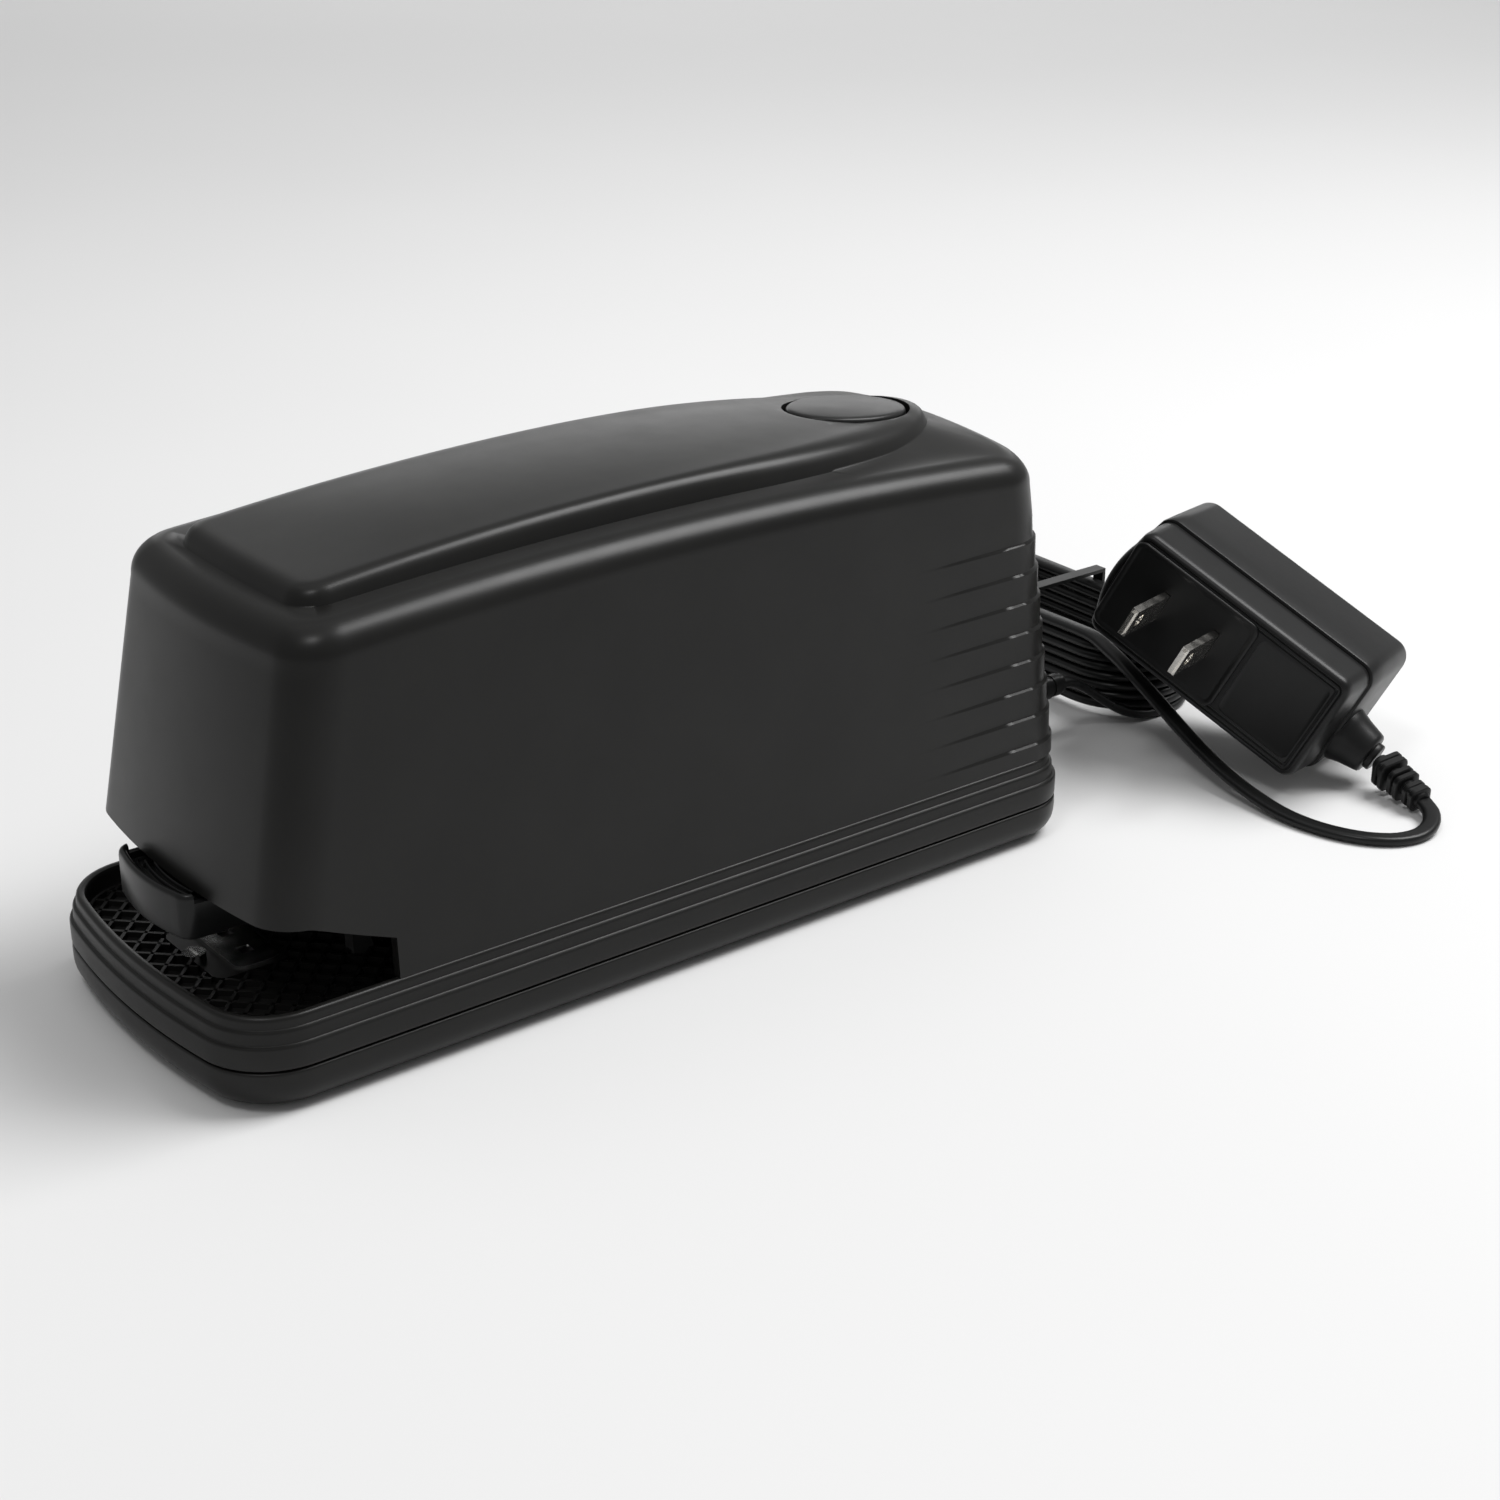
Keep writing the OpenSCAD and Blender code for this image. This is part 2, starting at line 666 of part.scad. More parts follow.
module magazine_nose() {
    color("#17181a") difference() {
        union() {
            translate([0, 0, magazine_z]) linear_extrude(6.4) nose_plan(0);
            intersection() {
                translate([0, 0, magazine_z]) linear_extrude(8) nose_plan(0);
                box([-20, nose_front, magazine_z], [20, -84.2, 40]);
            }
        }
        // finger recess behind the lip, with three fine ribs left in its floor
        difference() {
            translate([0, 0, magazine_z + 5.2]) linear_extrude(5) nose_plan(2);
            for (k = [0 : 2]) intersection() {
                translate([0, 0, magazine_z]) linear_extrude(5.8) difference() {
                    nose_plan(2.8 + k * 1.3);
                    nose_plan(3.3 + k * 1.3);
                }
                box([-20, nose_front, 0], [20, -80, 40]);
            }
        }
    }
}

staple_t = 0.5;
staple_top = 29.8;
staple_front = -driver_y + 0.6;

module staple_strip() {
    color("silver") difference() {
        box([-staple_w / 2, staple_front, magazine_z + 0.85],
            [staple_w / 2, staple_front + strip_l, staple_top]);
        box([-staple_w / 2 + staple_t, staple_front - 1, 0],
            [staple_w / 2 - staple_t, staple_front + strip_l + 1, staple_top - staple_t]);
    }
}

pusher_y = staple_front + strip_l + 0.3;
pusher_l = 12;

module pusher() {
    color("#3a3c40") {
        difference() {
            box([-6.3, pusher_y, magazine_z + 1.1], [6.3, pusher_y + pusher_l, staple_top]);
            box([-core_w - 0.3, pusher_y - 1, 0], [core_w + 0.3, pusher_y + pusher_l + 1, core_top + 0.3]);
        }
        difference() {
            union() {
                box([-1, pusher_y + 4, rod_z], [1, pusher_y + 8, staple_top - 0.2]);
                rod_y(pusher_y + 4, pusher_y + 8, 0, rod_z, 4);
            }
            rod_y(pusher_y, pusher_y + pusher_l, 0, rod_z, 1.76);
        }
    }
}

module pusher_spring() {
    color("silver") translate([0, 0, rod_z]) rotate([-90, 0, 0]) coil(3.2, 0.5, pusher_y + 8.1, 6.7, 6);
}

blade_z0 = mag_top + 0.9;

module driver_blade() {
    color("silver") box([-staple_w / 2 + 0.1, -driver_y - 0.4, blade_z0],
                        [staple_w / 2 - 0.1, -driver_y - 0.4 + blade_t, 61]);
}

carrier_y = -driver_y - 0.4 + blade_t;

module driver_carrier() {
    color("#b9bcc0") difference() {
        box([-5.4, carrier_y, 50.5], [5.4, -58, 61.5]);
        box([-3.4, carrier_y + 1.2, 40], [3.4, -50, 70]);
        box([-10, carrier_y + 1.2, 53.3], [10, -59.6, 58.7]);
    }
}

arm_tip = [-67.7, 55.9];

module drive_arm() {
    color("#b9bcc0") difference() {
        union() {
            side_plate(-2.5, 2.5, [[-70, 53.6], [-70, 58.2], [-66, 59.6], [-14, 68], [-2, 68], [19, 67],
                [19, 60.5], [11, 59], [-2, 56.5], [-14, 56], [-66, 53]]);
            rod_x(-5.8, 5.8, arm_tip[0], arm_tip[1], 4);
            rod_x(-6, 6, arm_y, arm_z, 11);
            rod_x(0, cam_x1 + 0.8, roller_place[0], roller_place[1], 3);
        }
        rod_x(-7, 7, arm_y, arm_z, 5.1);
    }
}

roller_place = [15, 63.3];

module arm_roller() {
    color("#3a3c40") at_place(roller_place) difference() {
        rod_x(cam_x0 - 0.2, cam_x1 - 0.1, 0, 0, 10);
        rod_x(cam_x0 - 1, cam_x1 + 1, 0, 0, 3.1);
    }
}

module head_spring() {
    color("silver") translate([0, 2, 0]) coil(9, 0.7, base_h + 0.02, magazine_z - 1.6, 4);
}

// ---------- paper trigger and electronics ----------

module paper_trigger() {
    color("#e8e4d8") difference() {
        side_plate(trigger_x - 1.4, trigger_x + 1.4, [[-57.6, 4], [-52.8, 4.4], [-52.4, 9],
            [-55.2, 19.6], [-56.4, 20.6], [-57.6, 19.6], [-57.4, 9]]);
        rod_x(trigger_x - 2, trigger_x + 2, trigger_y + 1, trigger_z, 2.1);
    }
}

module trigger_pin() {
    color("silver") rod_x(trigger_x - 3.6, trigger_x + 3.6, trigger_y + 1, trigger_z, 2);
}

module trigger_switch() {
    color("#3a3c40") {
        box([10.6, -47, base_floor + wall], [17.4, -35, base_floor + wall + 6]);
        box([13, -48, 4.4], [15, -47 + eps, 6]);
    }
}

board_x = -25;

module circuit_board() {
    color("#1f5a34") {
        box([board_x, -20, 22], [board_x + 1.6, 44, 58]);
        for (p = [[-12, 26], [40, 26], [-12, 50], [40, 50]])
            rod_x(board_x + 1.5, -plate_x - plate_t, p[0], p[1], 4);
    }
}

module board_parts() {
    color("#3a3c40") {
        rod_x(board_x - 4.4, board_x, 20, 34, 8);
        rod_x(board_x - 4.4, board_x, 32, 34, 8);
        box([board_x - 4, -12, 28], [board_x, 4, 38]);
        box([board_x - 3, -6, 44], [board_x, 6, 54]);
        box([board_x - 4, 20, 44], [board_x, 36, 52]);
    }
}

module dc_jack() {
    color("#2a2b2e") difference() {
        box([-4.6, 76, 8.4], [4.6, rear_y - wall - 0.4, base_h - wall]);
        rod_y(78, rear_y, 0, jack_z, 5.6);
    }
}

// ---------- power plug and cord ----------

plug_face = rear_y + 0.3;
relief_y0 = 107;

module dc_plug() {
    color("#1b1b1d") {
        rod_y(80, plug_face + eps, 0, jack_z, 5.5);
        rod_y(plug_face, relief_y0, 0, jack_z, 9.2);
    }
}

module plug_relief() {
    color("#1b1b1d") for (k = [0 : 4])
        translate([0, relief_y0 + 3 * k, jack_z]) rotate([-90, 0, 0]) {
            cylinder(d = 6.8 - 0.5 * k, h = 1.8, $fn = 32);
            cylinder(d = 4.6 - 0.1 * k, h = 3, $fn = 32);
        }
}

hank_c = [-31, 149];
hank_s = 23;                    // half of the hank's straight runs
hank_r = 12.8;                  // radius of its round ends, at the cord's middle
hank_pitch = 2.15;              // rise of one layer over the one below
hank_turns = 8;
hank_top = hank_turns * hank_pitch + cord_t;

// Route of the lead from the plug's relief down to the hank's lowest layer.
lead_plug = [
    [0, 122, 12.2], [0, 124, 12], [0.3, 127, 10.8], [1, 130, 8.8], [1.8, 133, 6.4],
    [2.6, 136, 4.2], [3.3, 138.6, 2.7]
];

// Route of the lead from the hank's top layer round to the adapter's relief.
lead_adapter = [
    [0.6, 135.5, 16.8], [3, 135.2, 16.2], [10, 134, 14.2], [18, 132.6, 11.6],
    [26, 131.2, 8.8], [34, 130, 6.2], [42, 129, 4], [50, 128.4, 2.4], [58, 128.2, 1.4],
    [65, 129, 1.1], [71, 130.8, 1.1], [76, 133.8, 1.1], [79.4, 138, 1.1], [80.4, 143, 1.2],
    [79, 147.6, 1.6], [76.4, 150.6, 2.2], [73.4, 152, 2.8]
];

// Unit direction of a route at one of its points.
function heading(p, i) =
    let (d = p[min(i + 1, len(p) - 1)] - p[max(i - 1, 0)]) d / norm(d);

// A flat lead swept along a route, its width kept level.
module flat_lead(p) {
    n = len(p);
    pts = [for (i = [0 : n - 1])
        let (d = heading(p, i), side = cross(d, [0, 0, 1]) / norm(cross(d, [0, 0, 1])), up = cross(side, d))
        for (k = [0 : 7]) p[i] + side * (cord_w / 2 * cos(k * 45)) + up * (cord_t / 2 * sin(k * 45))];
    sides = [for (i = [0 : n - 2], k = [0 : 7])
        [i * 8 + k, i * 8 + (k + 1) % 8, (i + 1) * 8 + (k + 1) % 8, (i + 1) * 8 + k]];
    last = (n - 1) * 8;
    polyhedron(points = pts, faces = concat(sides, [[for (k = [7 : -1 : 0]) k]],
                                            [[for (k = [0 : 7]) last + k]]), convexity = 4);
}

module cord_lead_plug() {
    color("#1b1b1d") flat_lead(lead_plug);
}

module cord_lead_adapter() {
    color("#1b1b1d") flat_lead(lead_adapter);
}

module stadium(r) {
    hull() for (s = [-1, 1]) translate([hank_c[0] + s * hank_s, hank_c[1]]) circle(r = r, $fn = 64);
}

module cord_hank() {
    color("#1b1b1d") linear_extrude(hank_top) difference() {
        stadium(hank_r + cord_w / 2);
        stadium(hank_r - cord_w / 2);
    }
}

tie_w = 3;

module cord_tie() {
    color("#1b1b1d") translate([hank_c[0] - tie_w / 2, 0, 0]) {
        y0 = hank_c[1] - hank_r - cord_w / 2;
        y1 = hank_c[1] + hank_r + cord_w / 2;
        difference() {
            translate([0, y0 - 0.8, 0]) cube([tie_w, y1 - y0 + 1.6, hank_top + 0.8]);
            translate([-1, y0, -1]) cube([tie_w + 2, y1 - y0, hank_top + 1]);
        }
    }
}

// ---------- mains adapter ----------

adapter_at = [34.7, 130.4, 27.7];
adapter_turn = [84, 26.5, 17];
case_split = 11;                // depth of the case's front half
case_wall = 2;
end_bow = 3.5;                  // bulge of the end away from the cord

module on_adapter() {
    translate(adapter_at) rotate(adapter_turn) children();
}

// Case outline seen on the prong face, rounded, with the far end bowed outwards.
module case_plan(inset) {
    l = adapter_l / 2 - inset;
    h = adapter_h / 2 - inset;
    r = 4 - inset;
    bow_r = (h * h + end_bow * end_bow) / (2 * end_bow);
    turn = asin((h - r) / bow_r);
    polygon([each arc([l - r, -h + r], r, -90, 0, 6), each arc([l - r, h - r], r, 0, 90, 6),
             each arc([-l + r + 1, h - r], r, 90, 150, 4),
             each arc([-l + bow_r - 0.6, 0], bow_r, 180 - turn * 0.86, 180 + turn * 0.86, 6),
             each arc([-l + r + 1, -h + r], r, 210, 270, 4)]);
}

blade_x = -8.2;
blade_w = 6.35;

module adapter_front() {
    color("#1b1b1d") on_adapter() difference() {
        union() {
            translate([0, 0, -case_split]) linear_extrude(case_split - 0.8) case_plan(0);
            translate([0, 0, -0.8 - eps]) linear_extrude(0.8) case_plan(1);
            translate([-10, 0, -eps]) linear_extrude(0.6) rounded_rect(31, 21, 2);
        }
        translate([0, 0, -case_split - 1]) linear_extrude(case_split - 1.5) case_plan(case_wall);
        for (s = [-1, 1]) translate([blade_x + s * blade_gap / 2 - 0.75, 1.2 - blade_w / 2, -5])
            cube([1.5, blade_w, 8]);
    }
}

module adapter_back() {
    color("#1b1b1d") on_adapter() difference() {
        union() {
            translate([0, 0, -adapter_d + 1]) linear_extrude(adapter_d - 1 - case_split - 0.2) case_plan(0);
            translate([0, 0, -adapter_d]) linear_extrude(1 + eps) case_plan(1.2);
        }
        translate([0, 0, -adapter_d + 2.5]) linear_extrude(adapter_d) case_plan(case_wall);
        translate([adapter_l / 2 - 5, -4, -17]) rotate([0, 90, 0]) cylinder(d = 4.2, h = 10, $fn = 32);
    }
}

module adapter_blades() {
    color("silver") on_adapter() for (s = [-1, 1]) difference() {
        translate([blade_x + s * blade_gap / 2 - 0.75, 1.2 - blade_w / 2, -5]) {
            cube([1.5, blade_w, 20.5]);
            translate([0.35, 0.5, 20.4]) cube([0.8, blade_w - 1, 1.1]);
        }
        translate([blade_x + s * blade_gap / 2 - 2, 1.2, 12]) rotate([0, 90, 0])
            cylinder(d = 3, h = 4, $fn = 32);
    }
}

module adapter_board() {
    color("#1f5a34") on_adapter() {
        box([-22, -9, -24], [22, 9, -22.4]);
        box([-14, -7, -22.5], [2, 7, -12]);
        translate([12, 0, -22.5]) cylinder(d = 9, h = 10, $fn = 48);
    }
}

module adapter_boot() {
    color("#1b1b1d") on_adapter() translate([adapter_l / 2, -4, -17]) rotate([0, 90, 0]) {
        translate([0, 0, -3]) cylinder(d = 4.2, h = 3.1, $fn = 32);
        cylinder(d1 = 12, d2 = 8.4, h = 7, $fn = 48);
        translate([0, 0, 7 - eps]) cylinder(d = 6, h = 1.4, $fn = 48);
    }
}

relief_end = [73.4, 152, 2.8];
relief_start = [59.6, 154.6, 6];

module adapter_relief() {
    d = relief_end - relief_start;
    len_d = norm(d);
    color("#1b1b1d") translate(relief_start) rotate([0, acos(d[2] / len_d), atan2(d[1], d[0])]) {
        cylinder(d = 3.8, h = len_d, $fn = 32);
        for (k = [0 : 2]) translate([0, 0, len_d * (0.12 + 0.3 * k)]) linear_extrude(3.2)
            rounded_rect(6.6 - 0.8 * k, 6.6 - 0.8 * k, 1.4);
    }
}

base_lower();
base_upper();
rubber_feet();
base_screws();
anvil();
anvil_screw();
cover();
cover_screws();
chassis_left();
chassis_right();
chassis_spacers();
button_guide();
motor_can();
motor_endcap();
gear_studs();
head_pin();
arm_pin();
latch_pin();
trigger_pin();
circuit_board();
board_parts();
trigger_switch();
dc_jack();
head_frame();
driver_guide();
magazine_channel();
magazine_core();
magazine_nose();
spring_rod();
staple_strip();
pusher();
pusher_spring();
driver_blade();
driver_carrier();
drive_arm();
arm_roller();
head_spring();
motor_pinion();
first_gear();
second_gear();
cam_gear();
release_button();
button_spring();
latch_lever();
paper_trigger();
dc_plug();
plug_relief();
cord_lead_plug();
cord_hank();
cord_tie();
cord_lead_adapter();
adapter_front();
adapter_back();
adapter_blades();
adapter_board();
adapter_boot();
adapter_relief();
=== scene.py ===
import json
import math

import bpy
import bmesh
import numpy as np
from mathutils import Matrix, Vector


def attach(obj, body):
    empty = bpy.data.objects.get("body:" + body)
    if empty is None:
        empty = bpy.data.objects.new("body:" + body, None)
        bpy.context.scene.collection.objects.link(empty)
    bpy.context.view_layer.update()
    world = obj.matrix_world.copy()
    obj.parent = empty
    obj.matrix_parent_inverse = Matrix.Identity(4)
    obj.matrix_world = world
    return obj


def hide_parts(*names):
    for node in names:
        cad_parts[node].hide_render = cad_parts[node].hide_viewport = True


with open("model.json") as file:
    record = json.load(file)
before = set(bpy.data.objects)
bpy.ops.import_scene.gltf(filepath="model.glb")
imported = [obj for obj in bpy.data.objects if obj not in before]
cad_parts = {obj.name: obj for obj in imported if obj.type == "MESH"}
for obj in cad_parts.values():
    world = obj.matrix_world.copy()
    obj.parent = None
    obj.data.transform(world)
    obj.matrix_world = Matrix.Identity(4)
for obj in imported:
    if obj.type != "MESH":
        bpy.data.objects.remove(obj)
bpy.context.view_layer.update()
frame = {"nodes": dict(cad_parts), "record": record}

MM = 0.001
nodes = frame["nodes"]


# ---------------------------------------------------------------- camera

def make_camera():
    """A long lens at the right front, looking down at the stapler."""
    right = Vector((0.613, 0.790, 0.0))
    up = Vector((-0.319, 0.248, 0.915))
    back = Vector((0.7228, -0.5606, 0.4041))
    data = bpy.data.cameras.new("camera")
    data.sensor_width = 36
    data.lens = 63.43
    camera = bpy.data.objects.new("camera", data)
    camera.matrix_world = Matrix.Translation((0.36815, -0.24657, 0.22510)) @ Matrix(
        (right, up, back)).transposed().to_4x4()
    bpy.context.collection.objects.link(camera)
    bpy.context.scene.camera = camera


make_camera()


# ---------------------------------------------------------------- mesh helpers

def add_mesh(name, verts, faces, slot, smooth_deg, body="base"):
    """A mesh object from points in millimetres, in its slot's material, smooth except across sharp edges."""
    mesh = bpy.data.meshes.new(name)
    mesh.from_pydata([tuple(np.asarray(v) * MM) for v in verts], [], faces)
    mesh.update()
    obj = bpy.data.objects.new(name, mesh)
    bpy.context.collection.objects.link(obj)
    finish_mesh(obj, smooth_deg)
    mesh.materials.append(LOOKS[slot])
    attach(obj, body)
    return obj


def finish_mesh(obj, smooth_deg):
    """Outward normals, smooth faces, and sharp edges where the surface turns hard."""
    bm = bmesh.new()
    bm.from_mesh(obj.data)
    bmesh.ops.remove_doubles(bm, verts=bm.verts, dist=1e-6)
    bmesh.ops.recalc_face_normals(bm, faces=bm.faces)
    limit = math.radians(smooth_deg)
    for face in bm.faces:
        face.smooth = True
    for edge in bm.edges:
        edge.smooth = len(edge.link_faces) == 2 and edge.calc_face_angle(0.0) < limit
    bm.to_mesh(obj.data)
    bm.free()


def strip_faces(rows, cols):
    """Quads of a grid of rows by cols points, its last column joined to the first."""
    return [(r * cols + c, r * cols + (c + 1) % cols, (r + 1) * cols + (c + 1) % cols, (r + 1) * cols + c)
            for r in range(rows - 1) for c in range(cols)]


def loft(rings, capped=True):
    """Points and faces of a skin through rings of equal length, closed with a flat face at both ends."""
    count = len(rings[0])
    verts = [p for ring in rings for p in ring]
    faces = strip_faces(len(rings), count)
    if capped:
        faces.append(tuple(range(count)))
        faces.append(tuple(range((len(rings) - 1) * count, len(rings) * count)))
    return verts, faces


def join_parts(parts):
    """Several (points, faces) pairs as one."""
    verts, faces = [], []
    for part_verts, part_faces in parts:
        start = len(verts)
        verts.extend(part_verts)
        faces.extend(tuple(start + i for i in face) for face in part_faces)
    return verts, faces


def cut(obj, cutters, smooth_deg):
    """Cuts helper solids out of obj, then deletes them."""
    for cutter in cutters:
        modifier = obj.modifiers.new("cut", "BOOLEAN")
        modifier.operation = "DIFFERENCE"
        modifier.object = cutter
        modifier.solver = "EXACT"
    depsgraph = bpy.context.evaluated_depsgraph_get()
    mesh = bpy.data.meshes.new_from_object(obj.evaluated_get(depsgraph))
    obj.modifiers.clear()
    obj.data = mesh
    for cutter in cutters:
        bpy.data.objects.remove(cutter)
    finish_mesh(obj, smooth_deg)


def helper_solid(verts, faces):
    """A closed solid in millimetres that is only there to be cut out of another."""
    mesh = bpy.data.meshes.new("helper")
    mesh.from_pydata([tuple(np.asarray(v) * MM) for v in verts], [], faces)
    bm = bmesh.new()
    bm.from_mesh(mesh)
    bmesh.ops.recalc_face_normals(bm, faces=bm.faces)
    bm.to_mesh(mesh)
    bm.free()
    obj = bpy.data.objects.new("helper", mesh)
    bpy.context.collection.objects.link(obj)
    return obj


def arc(cx, cy, radius, start_deg, end_deg, steps):
    """Points along a circular arc, both ends included."""
    turns = np.radians(np.linspace(start_deg, end_deg, steps))
    return [(cx + radius * math.cos(t), cy + radius * math.sin(t)) for t in turns]


# ---------------------------------------------------------------- materials

class Nodes:
    """A material's node tree with short calls to add and link nodes."""

    def __init__(self, name):
        self.material = bpy.data.materials.new(name)
        self.material.use_nodes = True
        self.tree = self.material.node_tree
        self.shader = self.tree.nodes["Principled BSDF"]

    def add(self, kind, **inputs):
        node = self.tree.nodes.new(kind)
        for key, value in inputs.items():
            node.inputs[key.replace("_", " ")].default_value = value
        return node

    def link(self, source, target):
        self.tree.links.new(source, target)

    def ramp(self, source, stops):
        node = self.tree.nodes.new("ShaderNodeValToRGB")
        ramp = node.color_ramp
        ramp.elements[0].position, ramp.elements[0].color = stops[0][0], stops[0][1]
        ramp.elements[1].position, ramp.elements[1].color = stops[-1][0], stops[-1][1]
        for place, colour in stops[1:-1]:
            ramp.elements.new(place).color = colour
        self.link(source, node.inputs["Fac"])
        return node

    def noise(self, scale, detail=3.0, rough=0.5):
        place = self.tree.nodes.new("ShaderNodeNewGeometry")
        node = self.add("ShaderNodeTexNoise", Scale=scale, Detail=detail, Roughness=rough)
        self.link(place.outputs["Position"], node.inputs["Vector"])
        return node


def grey(value, tint=(1.0, 1.0, 1.0)):
    """An opaque colour: a grey level times a tint."""
    return (value * tint[0], value * tint[1], value * tint[2], 1.0)


PLASTIC_SHINE = 0.23


def plastic(name, colour, roughness, grain=9000.0, bump=0.12, spread=0.06, tint=(1.0, 1.0, 1.0)):
    """Moulded plastic: spark-eroded grain in the surface, and colour and gloss that drift a little."""
    n = Nodes(name)
    drift = n.noise(55.0, 4.0)
    dark, light = grey(colour * 0.86, tint), grey(colour * 1.16, tint)
    colours = n.ramp(drift.outputs["Fac"], [(0.3, dark), (0.7, light)])
    n.link(colours.outputs["Color"], n.shader.inputs["Base Color"])
    handled = n.noise(140.0, 5.0, 0.6)
    gloss = n.ramp(handled.outputs["Fac"], [(0.3, grey(roughness - spread)), (0.7, grey(roughness + spread))])
    n.link(gloss.outputs["Color"], n.shader.inputs["Roughness"])
    fine = n.noise(grain, 2.0)
    lift = n.add("ShaderNodeBump", Strength=bump, Distance=0.00006)
    n.link(fine.outputs["Fac"], lift.inputs["Height"])
    n.link(lift.outputs["Normal"], n.shader.inputs["Normal"])
    n.shader.inputs["Specular IOR Level"].default_value = PLASTIC_SHINE
    return n.material


def metal(name, colour, roughness, stretch=(400.0, 400.0, 9000.0), bump=0.08):
    """Plated metal: fine drawn lines along one direction, with drifting gloss."""
    n = Nodes(name)
    place = n.tree.nodes.new("ShaderNodeNewGeometry")
    scale = n.tree.nodes.new("ShaderNodeMapping")
    scale.inputs["Scale"].default_value = stretch
    n.link(place.outputs["Position"], scale.inputs["Vector"])
    lines = n.add("ShaderNodeTexNoise", Scale=1.0, Detail=4.0, Roughness=0.6)
    n.link(scale.outputs["Vector"], lines.inputs["Vector"])
    shade = n.ramp(lines.outputs["Fac"], [(0.25, grey(0.82, colour)), (0.75, grey(1.0, colour))])
    n.link(shade.outputs["Color"], n.shader.inputs["Base Color"])
    handled = n.noise(300.0, 4.0)
    gloss = n.ramp(handled.outputs["Fac"], [(0.3, grey(roughness * 0.7)), (0.7, grey(roughness * 1.3))])
    n.link(gloss.outputs["Color"], n.shader.inputs["Roughness"])
    lift = n.add("ShaderNodeBump", Strength=bump, Distance=0.00003)
    n.link(lines.outputs["Fac"], lift.inputs["Height"])
    n.link(lift.outputs["Normal"], n.shader.inputs["Normal"])
    n.shader.inputs["Metallic"].default_value = 1.0
    return n.material


WARM = (1.0, 0.985, 0.93)
COOL = (0.97, 0.99, 1.0)
LOOKS = {
    "cover_black": plastic("cover_black", 0.0085, 0.33, bump=0.05, spread=0.02, tint=WARM),
    "base_black": plastic("base_black", 0.0090, 0.35, bump=0.05, spread=0.03, tint=WARM),
    "button_black": plastic("button_black", 0.0100, 0.33, bump=0.04, spread=0.02),
    "nose_black": plastic("nose_black", 0.0080, 0.30, bump=0.03, spread=0.03, tint=COOL),
    "rubber": plastic("rubber", 0.018, 0.80, grain=5000.0, bump=0.3),
    "zinc_steel": metal("zinc_steel", (0.62, 0.63, 0.64), 0.34),
    "bright_steel": metal("bright_steel", (0.80, 0.80, 0.79), 0.20),
    "brass": metal("brass", (0.72, 0.56, 0.28), 0.28),
    "blade_nickel": metal("blade_nickel", (0.78, 0.76, 0.72), 0.22, (900.0, 900.0, 900.0), bump=0.015),
    "white_nylon": plastic("white_nylon", 0.80, 0.42, grain=4000.0, bump=0.1, tint=(1.0, 0.98, 0.92)),
    "dark_plastic": plastic("dark_plastic", 0.05, 0.45),
    "board_green": plastic("board_green", 0.20, 0.38, grain=1500.0, bump=0.15, tint=(0.22, 1.0, 0.45)),
    "cord_black": plastic("cord_black", 0.009, 0.32, grain=2500.0, bump=0.08, spread=0.05, tint=COOL),
    "adapter_black": plastic("adapter_black", 0.008, 0.36, grain=7000.0, bump=0.05, spread=0.03, tint=COOL),
}


def dress_cad_nodes():
    """Every CAD node that stays in view gets the material of its slot."""
    slots = {s["node"]: s["material_slot"] for s in frame["record"]["subparts"]}
    for name, obj in nodes.items():
        look = LOOKS[slots[name]]
        if obj.material_slots:
            for place in obj.material_slots:
                place.material = look
        else:
            obj.data.materials.append(look)


dress_cad_nodes()


# ---------------------------------------------------------------- cord

CORD_W = 3.6
CORD_T = 2.1
HANK_X, HANK_Y = -31.0, 149.0
HANK_HALF_RUN = 23.0
HANK_R = 12.8
HANK_PITCH = 2.15
HANK_TURNS = 8

LEAD_PLUG = [
    (0, 122, 12.2), (0, 124, 12), (0.3, 127, 10.8), (1, 130, 8.8), (1.8, 133, 6.4),
    (2.6, 136, 4.2), (3.3, 138.6, 2.7), (4.2, 142.5, 1.5), (4.6, 146, 1.1),
]
LEAD_ADAPTER = [
    (-3, 136.0, 17.7), (0.6, 135.5, 16.8), (3, 135.2, 16.2), (10, 134, 14.2), (18, 132.6, 11.6),
    (26, 131.2, 8.8), (34, 130, 6.2), (42, 129, 4), (50, 128.4, 2.4), (58, 128.2, 1.4),
    (65, 129, 1.1), (71, 130.8, 1.1), (76, 133.8, 1.1), (79.4, 138, 1.1), (80.4, 143, 1.2),
    (79, 147.6, 1.6), (76.4, 150.6, 2.2), (73.4, 152, 2.8),
]


